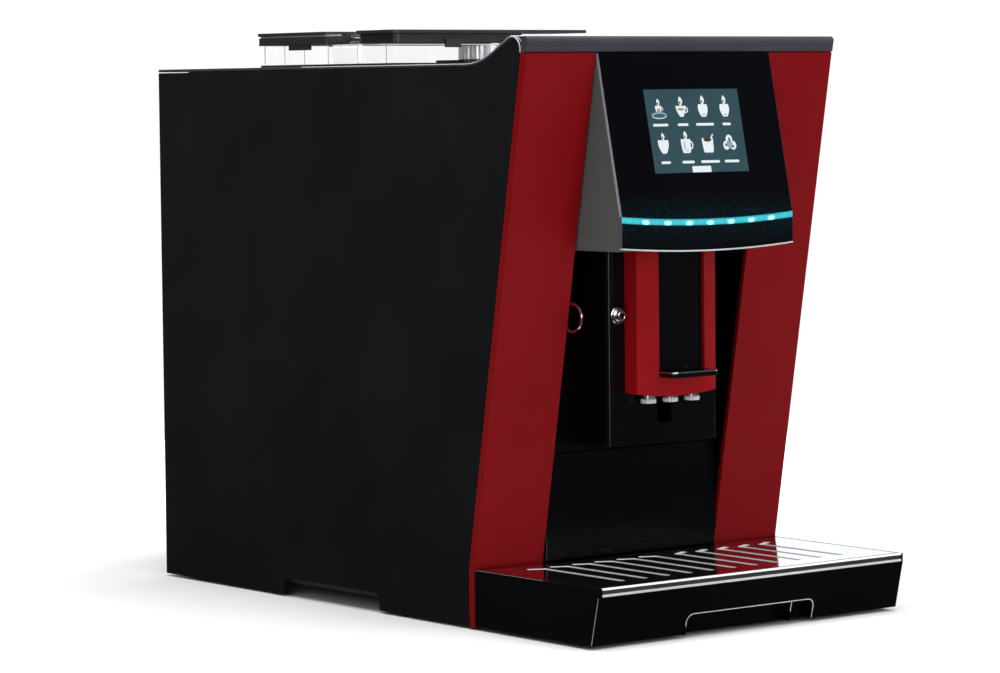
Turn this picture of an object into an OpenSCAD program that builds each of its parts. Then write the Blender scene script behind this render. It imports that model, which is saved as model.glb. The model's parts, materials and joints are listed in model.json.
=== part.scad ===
/* [Body] */
// Overall width
body_w = 240; // [236:1:250]
// Distance from the origin to the rear face
rear_y = 222; // [222:1:230]
// Height of the flat deck
deck_z = 332.3; // [331:0.1:334]
// Lean of the front panels from vertical, degrees
lean = 10; // [9:0.5:11]
// Height of the top edge of the red front panels
fascia_top = 338; // [336:1:340]
// Width of each red front panel
fascia_w = 52; // [48:1:54]
// Thickness of the side panels
side_t = 3; // [2.5:0.5:3.5]

/* [Drip tray] */
// Height of the cup plate above the worktop
tray_h = 35.4; // [35:0.1:37]
// Plane where the tray meets the front panels, ahead of the origin
tray_back = 109; // [108:1:111]
// Plane of the tray's front edge, ahead of the origin
tray_front = 222; // [220:1:226]
// Number of slots in the cup plate
slot_count = 11; // [7:2:13]
// Distance from slot to slot
slot_pitch = 17.2; // [15:0.1:18]

/* [Head] */
// Half width of the display head
head_half = 67; // [65:1:67]
// How far the head's glass bows forward at its middle
head_bow = 1.5; // [1:0.5:2.5]
// How far the light bar dips at its middle
smile = 2.7; // [2:0.1:4]
// Height of the head's lower edge at its sides
head_bottom = 223.7; // [223.2:0.1:225]

/* [Spout] */
// Half width of the spout
spout_half = 31; // [30:0.5:31.5]
// Half width of the guide column behind the spout
column_half = 43; // [43:0.5:45]
// Height of the lowest point of the spout at rest
spout_z = 133.7; // [132:0.1:135]
// Distance of each coffee nozzle from the middle
nozzle_x = 17.2; // [15:0.1:18]

/* [Deck lids] */
// Half width of the lids
lid_half = 75; // [74:1:76]
// Height of the closed lids
lid_top = 354.8; // [354.5:0.1:356]

/* [Grinder and brewer] */
// Grinder axis, left of the middle
grinder_x = -42; // [-44:1:-40]
// Grinder axis, behind the origin
grinder_y = 125; // [124:1:127]
// Brewing chamber bore radius
chamber_r = 19; // [18:0.5:20]

/* [Hidden] */

hw = body_w / 2;
gap = 0.3;
run = 0.05;
bay_half = hw - fascia_w;
panel_foot = 1.5;
deck_t = 1.8;
flange_d = 6.3;
rear_t = 2.5;
back_y = rear_y - 2.2;
arc_n = 20;

// Leaning front plane of the red panels: y at height z
function face_y(z) = -tray_back - max(0, z - tray_h) * tan(lean);

// Points on an arc about c, from angle a0 to a1
function arc(c, r, a0, a1, n = arc_n) =
    [for (i = [0 : n]) c + r * [cos(a0 + (a1 - a0) * i / n), sin(a0 + (a1 - a0) * i / n)]];

// Crossing of the line through p along u and the line through q along v
function meet(p, u, q, v) = p + u * cross(q - p, v) / cross(u, v);

// Reversed copy of a list
function back(v) = [for (i = [len(v) - 1 : -1 : 0]) v[i]];

// Rise of the side profile towards the head: a hollow curve, a straight ramp and a round nose
ramp = 27.5;
rise_y = -105;
rise_r = 50;
nose_r = 8;
rise_c = [rise_y, deck_z + rise_r];
ramp_dir = [-cos(ramp), sin(ramp)];
front_dir = [-sin(lean), cos(lean)];
ramp_start = rise_c + rise_r * [cos(-90 - ramp), sin(-90 - ramp)];
panel_front = [face_y(tray_h) + flange_d, tray_h];
nose_c = meet(ramp_start - nose_r * [sin(ramp), cos(ramp)], ramp_dir,
    panel_front + nose_r * [cos(lean), sin(lean)], front_dir);

// Top line of the side profile from the rear to the nose, lowered by d
function top_line(d, nose_end) = concat(
    [[rear_y, deck_z - d]],
    arc(rise_c, rise_r + d, -90, -90 - ramp),
    arc(nose_c, nose_r - d, 90 - ramp, nose_end));

// Extrudes a profile drawn in (y, z) from x0 to x1
module along_x(x0, x1) {
    translate([x0, 0, 0])
        rotate([90, 0, 90])
            linear_extrude(x1 - x0)
                children();
}

// Space above the underside of the deck
module above_deck() {
    along_x(-hw + side_t + gap, hw - side_t - gap)
        polygon(concat(top_line(deck_t + 0.4, 95), [[nose_c.x - nose_r - 2, band_top + 20],
            [rear_y, band_top + 20]]));
}

// Extrudes a profile drawn in (x, z) from y0 back to y1
module along_y(y0, y1) {
    translate([0, y1, 0])
        rotate([90, 0, 0])
            linear_extrude(y1 - y0)
                children();
}

// Box from its lowest to its highest corner
module slab(a, b) {
    translate(a)
        cube(b - a);
}

// Rectangle with round corners from its lowest to its highest corner
module round_rect(a, b, r) {
    translate([a.x + r, a.y])
        square([b.x - a.x - 2 * r, b.y - a.y]);
    translate([a.x, a.y + r])
        square([b.x - a.x, b.y - a.y - 2 * r]);
    for (x = [a.x + r, b.x - r])
        for (y = [a.y + r, b.y - r])
            translate([x, y])
                circle(r, $fn = 32);
}

// Upright block with round vertical corners
module round_block(a, b, r) {
    translate([0, 0, a.z])
        linear_extrude(b.z - a.z)
            round_rect([a.x, a.y], [b.x, b.y], r);
}

// Upright cylinder
module post(x, y, z0, z1, r) {
    translate([x, y, z0])
        cylinder(h = z1 - z0, r = r, $fn = 48);
}

// Upright tube
module tube(x, y, z0, z1, r_out, r_in) {
    difference() {
        post(x, y, z0, z1, r_out);
        post(x, y, z0 - 1, z1 + 1, r_in);
    }
}

// Cylinder lying along X
module bar_x(x0, x1, y, z, r) {
    translate([x0, y, z])
        rotate([0, 90, 0])
            cylinder(h = x1 - x0, r = r, $fn = 48);
}

// Cylinder lying along Y
module bar_y(x, y0, y1, z, r) {
    translate([x, y1, z])
        rotate([90, 0, 0])
            cylinder(h = y1 - y0, r = r, $fn = 48);
}

// Round rod from point a to point b
module rod(a, b, r) {
    d = b - a;
    l = norm(d);
    translate(a)
        rotate([0, acos(d.z / l), atan2(d.y, d.x)])
            cylinder(h = l, r = r, $fn = 32);
}

// Hose through a list of points, with an elbow fitting at each bend
module hose(p, r) {
    for (i = [0 : len(p) - 2])
        rod(p[i], p[i + 1], r);
    for (i = [1 : len(p) - 2])
        translate(p[i])
            sphere(r + 0.6, $fn = 48);
}

// ---------- casing ----------

notch_y = [-14, 87.5];
notch_h = 12;
notch_r = 6;

module side_profile() {
    difference() {
        polygon(concat(
            top_line(deck_t + 0.5, 90 + 5),
            arc(nose_c, nose_r, 96, 180 + lean),
            [panel_front, [panel_front.x, panel_foot], [rear_y, panel_foot]]));
        round_rect([notch_y[0], -notch_r], [notch_y[1], notch_h], notch_r);
    }
}

module left_side_panel() {
    color([0.06, 0.06, 0.07])
        along_x(-hw, -hw + side_t)
            side_profile();
}

door_y = [-29.4, 99.6];
door_z = [90.6, 289.4];
door_axis = [hw - 1.5, 98.5];
door_pin_r = 0.8;
door_pin_z = [84, 96];

module door_pin_shapes(r) {
    for (side = [0, 1])
        mirror([0, 0, side])
            translate([0, 0, -side * (door_z[0] + door_z[1])])
                post(door_axis.x, door_axis.y, door_pin_z[0], door_pin_z[1], r);
}

module right_side_panel() {
    color([0.06, 0.06, 0.07])
        difference() {
            along_x(hw - side_t, hw)
                side_profile();
            slab([hw - side_t - 1, door_y[0] - 0.6, door_z[0] - 0.6],
                [hw + 1, door_axis.y + 2.4, door_z[1] + 0.6]);
            door_pin_shapes(door_pin_r);
        }
}

module service_door() {
    color([0.07, 0.07, 0.08])
        difference() {
            union() {
                slab([hw - side_t, door_y[0], door_z[0]], [hw, door_y[1], door_z[1]]);
                slab([hw - side_t - 2, door_y[0] + 6, door_z[0] + 6],
                    [hw - side_t, door_y[1] - 12, door_z[1] - 6]);
            }
            door_pin_shapes(door_pin_r + run);
            translate([hw + 3.5, door_y[0] + 14, 190])
                sphere(9, $fn = 48);
        }
}

module door_hinge_pins() {
    color("silver")
        door_pin_shapes(door_pin_r);
}

inlet_c = [-80, 36];
rocker_c = [-34, 36];

module rear_panel() {
    color([0.08, 0.08, 0.09])
        difference() {
            slab([-hw + side_t + gap, back_y - rear_t, 12], [hw - side_t - gap, back_y, 326.4]);
            for (sx = [-1, 1])
                for (i = [0 : 9])
                    slab([sx * 62 - 26, back_y - 5, 84 + i * 7], [sx * 62 + 26, back_y + 1, 87 + i * 7]);
            slab([inlet_c[0] - 14.2, back_y - 5, inlet_c[1] - 10.2],
                [inlet_c[0] + 14.2, back_y + 1, inlet_c[1] + 10.2]);
            slab([rocker_c[0] - 9.6, back_y - 5, rocker_c[1] - 12.6],
                [rocker_c[0] + 9.6, back_y + 1, rocker_c[1] + 12.6]);
            for (p = rear_screw_spots)
                bar_y(p[0], back_y - 5, back_y + 1, p[1], 1.6);
        }
}

rear_screw_spots = [for (sx = [-1, 1]) for (z = [18, 170, 320]) [sx * 108, z]];

foot_spots = [[-98, -80], [98, -80], [-98, 198], [98, 198]];
base_z = 8;

module base_pan() {
    color([0.09, 0.09, 0.1])
        difference() {
            union() {
                slab([-112, -100, base_z], [112, back_y - rear_t - gap, base_z + 2]);
                for (sx = [-1, 1])
                    slab([sx * 112 - 1, -100, base_z], [sx * 112 + 1, back_y - rear_t - gap, 24]);
                for (p = foot_spots)
                    post(p[0], p[1], base_z, base_z + 6, 7);
            }
            slab([-65, -101, base_z - 1], [65, 76, base_z + 3]);
            for (p = foot_spots)
                post(p[0], p[1], 0, base_z + 7, 2);
        }
}

module feet() {
    color([0.12, 0.12, 0.12])
        for (p = foot_spots)
            difference() {
                post(p[0], p[1], 0, base_z, 11);
                post(p[0], p[1], -1, 3, 4);
                post(p[0], p[1], -1, base_z + 1, 2);
            }
}

module casing_screws() {
    color("silver") {
        for (p = foot_spots) {
            post(p[0], p[1], 3, base_z + 6, 1.9);
            post(p[0], p[1], 1.2, 3, 3.6);
        }
        for (p = rear_screw_spots) {
            bar_y(p[0], back_y - 9, back_y, p[1], 1.5);
            bar_y(p[0], back_y, back_y + 1.6, p[1], 3);
        }
    }
}

bin_z = 36.4;
shelf_z = 100;

module chassis_frame() {
    color([0.2, 0.2, 0.21])
        union() {
            for (sx = [-1, 1]) {
                slab([sx * 65 - 1, -104, 10.3], [sx * 65 + 1, 80, shelf_z + 3]);
                slab([sx * 63.5 - 1, -104, 34], [sx * 63.5 + 1, 78, 36]);
            }
            slab([-66, 76, 10.3], [66, 80, shelf_z + 3]);
            slab([-66, -92, shelf_z], [-4, 80, shelf_z + 3]);
            slab([64, -92, shelf_z], [100, 80, shelf_z + 3]);
            slab([-66, 40, shelf_z], [66, 80, shelf_z + 3]);
            slab([-66, -104, shelf_z + 1], [66, -60, shelf_z + 3]);
        }
}

module deck_cover() {
    color([0.1, 0.1, 0.11])
        difference() {
            along_x(-hw, hw)
                polygon(concat(top_line(0, 95), back(top_line(deck_t, 95))));
            slab([-72.4, 27.6, deck_z - 5], [72.4, 172.4, deck_z + 1]);
            slab([-101.4, 178.2, deck_z - 5], [101.4, 218.4, deck_z + 1]);
        }
}

band_r = 3;
band_top = nose_c.y + nose_r;

module top_band() {
    color([0.16, 0.16, 0.18])
        union() {
            along_x(-hw, hw)
                polygon(concat(
                    [[face_y(fascia_top), fascia_top + 0.2]],
                    arc([face_y(band_top - band_r) + band_r, band_top - band_r], band_r,
                        180 + lean, 90, 6),
                    [[nose_c.x - nose_r - 1, band_top], [nose_c.x - nose_r - 1, fascia_top + 0.2]]));
            slab([-hw + side_t + gap, nose_c.x - nose_r - 2, band_top - 2],
                [hw - side_t - gap, nose_c.x - 1.2, band_top]);
        }
}

// ---------- front ----------

fascia_t = 3;
fascia_foot = 0.5;

// Front panel line moved back by d, as a strip d deep
module face_strip(d0, d1, z0, z1) {
    polygon([[face_y(z0) + d0, z0], [face_y(tray_h) + d0, tray_h], [face_y(z1) + d0, z1],
        [face_y(z1) + d1, z1], [face_y(tray_h) + d1, tray_h], [face_y(z0) + d1, z0]]);
}

module fascia() {
    union() {
        along_x(-hw, -bay_half)
            face_strip(0.4, 0.4 + fascia_t, fascia_foot, fascia_top);
        along_x(-hw, -hw + 2.5)
            face_strip(0.4, flange_d - gap, fascia_foot, fascia_top);
    }
}

module left_fascia() {
    color([0.5, 0.07, 0.09])
        fascia();
}

module right_fascia() {
    color([0.5, 0.07, 0.09])
        mirror([1, 0, 0])
            fascia();
}

bay_y = -tray_back - 2;
wall_t = 2.4;

module bay_liner() {
    color([0.04, 0.04, 0.045])
        difference() {
            union() {
                for (sx = [0, 1])
                    mirror([sx, 0, 0])
                        along_x(-bay_half - 2, -bay_half)
                            polygon([[face_y(fascia_top) + fascia_t + 0.7, fascia_top - 1],
                                [face_y(tray_h) + fascia_t + 0.7, tray_h + 0.6],
                                [bay_y + wall_t + 4, tray_h + 0.6], [bay_y + wall_t + 4, fascia_top - 1]]);
                slab([-bay_half - 1, bay_y, shelf_z + 0.4], [bay_half + 1, bay_y + wall_t, fascia_top - 1]);
            }
            slab([-20, bay_y - 1, 120], [20, bay_y + wall_t + 1, 300]);
            above_deck();
        }
}

column_y = [-141.7, bay_y - 0.2];
column_z = [105, 318];
column_wall = 2.5;
column_r = 4;

module guide_column() {
    w = column_wall;
    color([0.05, 0.05, 0.055])
        difference() {
            union() {
                round_block([-column_half, column_y[0], column_z[0]],
                    [column_half, column_y[1] - 8, column_z[1]], column_r);
                slab([-column_half, column_y[0] + column_r, column_z[0]],
                    [column_half, column_y[1], column_z[1]]);
            }
            slab([-column_half + w, column_y[0] + w, column_z[0] + w],
                [column_half - w, column_y[1] + 1, column_z[1] - w]);
            slab([-5.5, column_y[0] - 1, carriage_z[0] - 26.5], [5.5, column_y[0] + 3, carriage_z[1] + 42]);
            bar_y(port_c[0], column_y[0] - 1, column_y[0] + 3, port_c[1], port_r + 0.2);
        }
}

carriage_z = [spout_z + 10, spout_z + 60];
port_c = [-column_half + 6.1, 182.6];
port_r = 3.2;
grommet_c = [-137.6, 182.8];
grommet_r = [9, 7.5];
grommet_t = 1.2;

module milk_port() {
    front = column_y[0];
    color("silver") {
        difference() {
            union() {
                bar_y(port_c[0], front - 1.2, front, port_c[1], 5.2);
                bar_y(port_c[0], front - 2.6, front - 1.2, port_c[1], 4.6);
                bar_y(port_c[0], front - 5.3, front + 4, port_c[1], port_r);
            }
            bar_y(port_c[0], front - 10, front + 6, port_c[1], 1.6);
        }
        difference() {
            bar_x(-bay_half, -bay_half + grommet_t, grommet_c[0], grommet_c[1], grommet_r[0]);
            bar_x(-bay_half - 1, -bay_half + grommet_t + 1, grommet_c[0], grommet_c[1], grommet_r[1]);
        }
    }
}

// ---------- head ----------

glass_top = [face_y(fascia_top), fascia_top];
glass_bend = [-183, 241.6];
glass_foot_y = glass_bend[0];
slant = atan((glass_top[0] - glass_bend[0]) / (glass_top[1] - glass_bend[1]));
skin_t = 2.4;
band_rise = 15.3;
led_h = 3.8;

// Frame whose x runs across, y out of the glass and z down the slant
module on_glass() {
    translate([0, glass_top[0], glass_top[1]])
        rotate([180 - slant, 0, 0])
            children();
}

function bow(x) = head_bow * (1 - pow(x / head_half, 2));
function dip(x) = -smile * (1 - pow(x / head_half, 2));
head_xs = [for (i = [0 : 16]) -head_half + i * head_half / 8];
smile_xs = [for (i = [-7.5 : 7.5]) i * (head_half + 2) / 7.5];

// Bowed skin of the head's front between two depths below its surface: the slanted part
// above the bend
module slanted_skin(d0, d1) {
    on_glass()
        translate([0, 0, -10])
            linear_extrude(122)
                bow_profile(d0, d1);
}

// The upright part below the bend
module upright_skin(d0, d1) {
    translate([0, glass_foot_y, 200])
        mirror([0, 1, 0])
            linear_extrude(60)
                bow_profile(d0, d1);
}

module bow_profile(d0, d1) {
    polygon(concat([for (x = head_xs) [x, bow(x) - d0]],
        [for (x = back(head_xs)) [x, bow(x) - d1]]));
}

// Part of a skin between two heights, each following the smile
module skin_zone(z0, z1, flat_top = false) {
    intersection() {
        children();
        along_y(-200, -150)
            polygon(concat([for (x = smile_xs) [x, z0 + dip(x)]],
                [for (x = back(smile_xs)) [x, flat_top ? z1 : z1 + dip(x)]]));
    }
}

led_z = head_bottom + band_rise;

module display_glass() {
    color([0.03, 0.03, 0.04])
        skin_zone(led_z + led_h, fascia_top - 0.4, true)
            slanted_skin(0, skin_t);
}

module led_bar() {
    color([0.5, 0.95, 0.98])
        skin_zone(led_z + 0.05, led_z + led_h - 0.05)
            upright_skin(0.3, skin_t);
}

module lower_band() {
    color([0.05, 0.05, 0.055])
        skin_zone(head_bottom + 1, led_z)
            upright_skin(0, skin_t);
}

module head_trim() {
    color("silver")
        skin_zone(head_bottom, head_bottom + 0.95)
            upright_skin(-0.4, skin_t);
}

cheek_t = 2.4;
head_floor = 222.4;

module head_housing() {
    f = skin_t + 0.2;
    color([0.3, 0.3, 0.3])
        difference() {
            head_shape(f);
            above_deck();
        }
}

// Cheeks, floor and roof of the head, f behind the surface of its glass
module head_shape(f) {
            for (sx = [0, 1])
                mirror([sx, 0, 0])
                    along_x(-head_half, -head_half + cheek_t)
                        polygon(concat(
                            [[glass_top[0] + f, fascia_top - 0.6], [glass_bend[0] + f, glass_bend[1]]],
                            arc([glass_foot_y + f + 3, head_floor + 3], 3, 180, 270, 4),
                            [[bay_y - 0.4, head_floor], [bay_y - 0.4, fascia_top - 0.6]]));
            difference() {
                slab(
                    [-head_half, glass_foot_y + f + 2.5, head_floor],
                    [head_half, bay_y - 0.4, head_floor + 2.5]
                );
                union() {
                    slab([-column_half - 0.5, column_y[0] - 0.5, 200], [column_half + 0.5, bay_y, 240]);
                    slab([-spout_half - 1, spout_front - 1.2, 200], [spout_half + 1, bay_y, 240]);
                }
            }
            slab(
                [-head_half, glass_top[0] + f + 1, fascia_top - 3],
                [head_half, bay_y - 0.4, fascia_top - 0.6]
            );
}

screen_z = [18, 78];

module display_module() {
    color([0.2, 0.35, 0.4])
        on_glass()
            slab([-43, -skin_t - 4.6, screen_z[0]], [43, -skin_t, screen_z[1]]);
}

module display_board() {
    color([0.1, 0.35, 0.15])
        on_glass()
            difference() {
                slab([-50, -skin_t - 6.2, screen_z[0] - 4], [50, -skin_t - 4.6, screen_z[1] + 4]);
                for (sx = [-1, 1])
                    for (z = [screen_z[0] - 1, screen_z[1] + 1])
                        translate([sx * 47, 0, z])
                            rotate([90, 0, 0])
                                cylinder(h = 40, r = 1.5, center = true, $fn = 24);
            }
}

// ---------- spout ----------

spout_front = -158;
spout_edge = -153;
spout_back = column_y[0] - gap;
spout_top = spout_z + 133;
spout_arch = 2.5;
recess_half = 17.9;
ledge_z = [spout_z + 12.3, spout_z + 15.5];
ledge_half = 18;
ledge_front = -171.3;
cavity_z = spout_z + 5;
cavity_y = [-150.5, spout_back - 1.5];
nozzle_y = -147;
nozzle_spots = [-nozzle_x, 0, nozzle_x];
stem_r = 2.4;

// Shell outline seen from above, in front and from the side: a frame that rises from its
// outer edges to the recess
module spout_block() {
    intersection() {
        translate([0, 0, spout_z])
            linear_extrude(spout_top - spout_z)
                polygon([[-spout_half, spout_back], [spout_half, spout_back], [spout_half, spout_edge],
                    [recess_half, spout_front], [-recess_half, spout_front], [-spout_half, spout_edge]]);
        along_x(-spout_half, spout_half)
            polygon([[spout_back, spout_z], [spout_edge, spout_z], [spout_front, ledge_z[0] - 0.1],
                [spout_front, spout_top], [spout_back, spout_top]]);
        along_y(spout_front, spout_back)
            polygon(concat([[spout_half, spout_top], [-spout_half, spout_top]],
                [for (i = [-8 : 8]) [i * spout_half / 8, spout_z + spout_arch * pow(i / 8, 2)]]));
    }
}

module spout_shell() {
    color([0.5, 0.07, 0.09])
        difference() {
            spout_block();
            slab(
                [-spout_half + 2.5, cavity_y[0], cavity_z],
                [spout_half - 2.5, cavity_y[1], spout_top - 2.5]
            );
            slab([-recess_half, spout_front - 1, ledge_z[0] - 0.1],
                [recess_half, cavity_y[0] + 0.1, spout_top + 1]);
            for (x = nozzle_spots)
                post(x, nozzle_y, spout_z - 1, cavity_z + 1, 4.2);
        }
}

module spout_insert() {
    color([0.03, 0.03, 0.035])
        slab([-recess_half + 0.1, spout_front + 2.6, ledge_z[1] + 0.1],
            [recess_half - 0.1, spout_front + 4.9, spout_top - 0.2]);
}

module spout_ledge() {
    color([0.1, 0.1, 0.11])
        union() {
            round_block(
                [-ledge_half, ledge_front, ledge_z[0]],
                [ledge_half, spout_front - 0.2, ledge_z[1]],
                3.5
            );
            slab([-recess_half + 0.1, spout_front - 4.2, ledge_z[0]],
                [recess_half - 0.1, cavity_y[0] - 0.1, ledge_z[1]]);
        }
}

module spout_carriage() {
    color([0.85, 0.85, 0.8])
        union() {
            slab([-4.9, spout_back, carriage_z[0]], [4.9, column_y[0] + 3, carriage_z[1]]);
            slab([-12, column_y[0] + 2.8, carriage_z[0]], [12, column_y[0] + 6, carriage_z[1]]);
        }
}

module spout_manifold() {
    color([0.07, 0.07, 0.08])
        difference() {
            slab([-25, cavity_y[0] + 0.2, cavity_z + 0.3], [25, cavity_y[1] - 0.2, cavity_z + 7]);
            for (x = nozzle_spots) {
                post(x, nozzle_y, cavity_z - 1, cavity_z + 5, stem_r + run);
                post(x, nozzle_y, cavity_z - 1, cavity_z + 8, 1.6);
            }
        }
}

module coffee_nozzles() {
    color("silver")
        for (x = nozzle_spots)
            difference() {
                union() {
                    post(x, nozzle_y, spout_z - 3.8, cavity_z - 0.2, 4);
                    post(x, nozzle_y, cavity_z - 1, cavity_z + 4.8, stem_r);
                }
                post(x, nozzle_y, spout_z - 5, cavity_z + 6, 1.6);
                post(x, nozzle_y, spout_z - 5, spout_z - 0.8, 2.9);
            }
}

// ---------- drip tray ----------

tray_foot = 2;
front_lean = 6.4;
grip_half = 50;
grip_h = 14;
grip_depth = 12;
grip_rib = [31.2, 32.4];
plate_t = 2;
plate_edge = [hw - 2.6, tray_front - 2.7, tray_back + 2.0];
plate_lift_room = 0.5;
bin_half = 61.5;
ext_half = 61.9;
ext_y = 72;
ext_top = 33.2;

module tray_outline() {
    polygon([[-tray_front + front_lean, tray_foot], [-tray_front, tray_h - 5.4], [-tray_front, tray_h],
        [-tray_back - 0.2, tray_h], [-tray_back - 0.2, tray_foot]]);
}

module grip_pocket(grow) {
    along_y(-tray_front - 5, -tray_front + grip_depth + grow)
        round_rect([-grip_half - grow, -10], [grip_half + grow, grip_h + grow], 5);
}

module drip_tray() {
    color([0.04, 0.04, 0.045])
        difference() {
            union() {
                difference() {
                    along_x(-hw, hw)
                        tray_outline();
                    slab([-hw + 5, -tray_front + 9.5, tray_foot + 3], [hw - 5, -tray_back - 3, tray_h + 1]);
                    slab([-plate_edge[0], -plate_edge[1], tray_h - plate_t - 0.1],
                        [plate_edge[0], -plate_edge[2], tray_h + 1]);
                }
                intersection() {
                    grip_pocket(2.5);
                    slab([-60, -tray_front + 5, tray_foot], [60, -tray_front + 20, grip_h + 2.5]);
                }
                difference() {
                    slab([-ext_half, -tray_back - 3, 12], [ext_half, ext_y, ext_top]);
                    slab([-ext_half + 2, -tray_back - 4, 14], [ext_half - 2, ext_y - 2, ext_top + 1]);
                }
            }
            slab([-ext_half + 2, -tray_back - 6, 14], [ext_half - 2, -tray_back + 1, 31]);
            difference() {
                grip_pocket(0);
                slab([grip_rib[0], -tray_front - 6, 0], [grip_rib[1], -tray_front + grip_depth + 1, 20]);
            }
            tray_trim_cut();
        }
}

trim_z = tray_h - 5;
trim_x = [-hw + 3.5, hw - 1.5];
trim_d = 1.6;
groove_z = [trim_z + 1.3, trim_z + 3.9];

module tray_trim_cut() {
    slab([trim_x[0], -tray_front - 1, trim_z], [trim_x[1], -tray_front + trim_d, tray_h + 1]);
}

module tray_trim() {
    color("silver")
        difference() {
            slab([trim_x[0] + run, -tray_front, trim_z + run],
                [trim_x[1] - run, -tray_front + trim_d - run, tray_h]);
            slab([-hw, -tray_front - 1, groove_z[0]], [hw, -tray_front + 0.5, groove_z[1]]);
        }
}

slot_w = 4.4;
slot_y = [-202, -133];
slot_kick = [8, 4];

// One drain slot: a straight run with a short kick sideways at its rear end
module slot_shape(side) {
    kick = atan2(slot_kick[1], -side * slot_kick[0]);
    translate([-slot_w / 2, slot_y[0]])
        square([slot_w, slot_y[1] - slot_y[0]]);
    translate([0, slot_y[0]])
        circle(slot_w / 2, $fn = 24);
    translate([0, slot_y[1]]) {
        circle(slot_w / 2, $fn = 24);
        rotate(kick)
            translate([0, -slot_w / 2])
                square([norm(slot_kick), slot_w]);
        rotate(kick)
            translate([norm(slot_kick), 0])
                circle(slot_w / 2, $fn = 24);
    }
}

module cup_plate() {
    half = (slot_count - 1) / 2;
    color([0.75, 0.76, 0.78])
        difference() {
            slab([-plate_edge[0] + gap, -plate_edge[1] + plate_lift_room, tray_h - plate_t],
                [plate_edge[0] - gap, -plate_edge[2] - gap, tray_h]);
            translate([0, 0, tray_h - plate_t - 1])
                linear_extrude(plate_t + 2)
                    for (k = [-half : half])
                        translate([k * slot_pitch, 0])
                            slot_shape(k > 0 ? -1 : 1);
        }
}

module grounds_bin() {
    color([0.05, 0.05, 0.055])
        difference() {
            union() {
                slab([-bin_half, bay_y + 1, bin_z], [bin_half, 70, 96]);
                slab([-bay_half + 0.8, bay_y, tray_h + 0.8], [bay_half - 0.8, bay_y + 3, shelf_z - 0.2]);
            }
            slab([-bin_half + 2.2, bay_y + 5, bin_z + 2.2], [bin_half - 2.2, 67.8, 97]);
        }
}

// ---------- hopper and lids ----------

hop = [72, 28, 172];
ear_x = [50, 62];
pin_z = 350;
pin_front_y = 70.5;
pin_rear_y = 85.5;
pin_r = 1.5;
ear_r = 3;
throat_r = 13;

module bean_hopper() {
    color([0.75, 0.8, 0.82, 0.4])
        difference() {
            union() {
                difference() {
                    round_block([-hop[0], hop[1], 331], [hop[0], hop[2], 346.4], 4);
                    round_block([-hop[0] + 2, hop[1] + 2, 334], [hop[0] - 2, 66, 347], 3);
                    round_block([-hop[0] + 2, 98, 330], [hop[0] - 2, hop[2] - 2, 347], 3);
                }
                difference() {
                    slab([-68, 86, 280], [68, 170, 331.5]);
                    slab([-66, 88, 282], [66, 168, 333]);
                }
                post(grinder_x, grinder_y, 262, 281, 24);
                post(grinder_x, grinder_y, 250, 263, throat_r);
                for (sx = [0, 1])
                    mirror([sx, 0, 0])
                        along_x(ear_x[0], ear_x[1])
                            ear_profile();
            }
            translate([grinder_x, grinder_y, 264])
                cylinder(h = 18.01, r1 = throat_r - 1.8, r2 = 22, $fn = 48);
            post(grinder_x, grinder_y, 249, 265, throat_r - 1.8);
            for (y = [pin_front_y, pin_rear_y])
                bar_x(-ear_x[1] - 1, ear_x[1] + 1, y, pin_z, pin_r + run);
            slab([funnel_c.x - 14.4, 34.6, 330], [funnel_c.x + 14.4, 58.4, 335]);
        }
}

module ear_profile() {
    translate([67.8, 340])
        square([20.4, 6.4]);
    translate([pin_front_y, 343])
        square([pin_rear_y - pin_front_y, 9]);
    for (y = [pin_front_y, pin_rear_y]) {
        translate([y, pin_z])
            circle(ear_r, $fn = 32);
        translate([y - ear_r, 344])
            square([2 * ear_r, 6]);
    }
}

module lid_hinge_pins() {
    color("silver")
        for (sx = [0, 1])
            mirror([sx, 0, 0])
                for (y = [pin_front_y, pin_rear_y])
                    bar_x(ear_x[0] - 10, ear_x[1] - 0.5, y, pin_z, pin_r);
}

funnel_c = [12, 46.5];
knuckle_x = [ear_x[0] - 9.5, ear_x[0] - gap];

// Hinge knuckles of a lid about the pin at y, reaching to its edge
module knuckles(y, edge) {
    for (sx = [0, 1])
        mirror([sx, 0, 0])
            difference() {
                union() {
                    bar_x(knuckle_x[0], knuckle_x[1], y, pin_z, ear_r);
                    slab(
                        [knuckle_x[0], min(y, edge), pin_z - 1],
                        [knuckle_x[1], max(y, edge), lid_top - 1.9]
                    );
                }
                bar_x(knuckle_x[0] - 1, knuckle_x[1] + 1, y, pin_z, pin_r + run);
            }
}

rear_lid_y = [97, 175];
front_lid_y = [25, 66.6];
front_lid_right = lid_half + 7;
front_rim_right = 20;

module rear_lid() {
    color([0.1, 0.1, 0.11])
        union() {
            round_block([-lid_half, rear_lid_y[0], lid_top - 2], [lid_half, rear_lid_y[1], lid_top], 4);
            round_block([-lid_half + 3, rear_lid_y[0] + 0.4, 351.6],
                [lid_half - 3, rear_lid_y[1] - 3, lid_top - 1.9], 4);
            difference() {
                round_block([-lid_half + 0.5, rear_lid_y[0], 346.8],
                    [lid_half - 0.5, rear_lid_y[1] - 0.5, 351.7], 4);
                round_block([-lid_half + 8, rear_lid_y[0] + 7, 345],
                    [lid_half - 8, rear_lid_y[1] - 8, 350], 3);
            }
            knuckles(pin_rear_y, rear_lid_y[0] + 1);
        }
}

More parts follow.
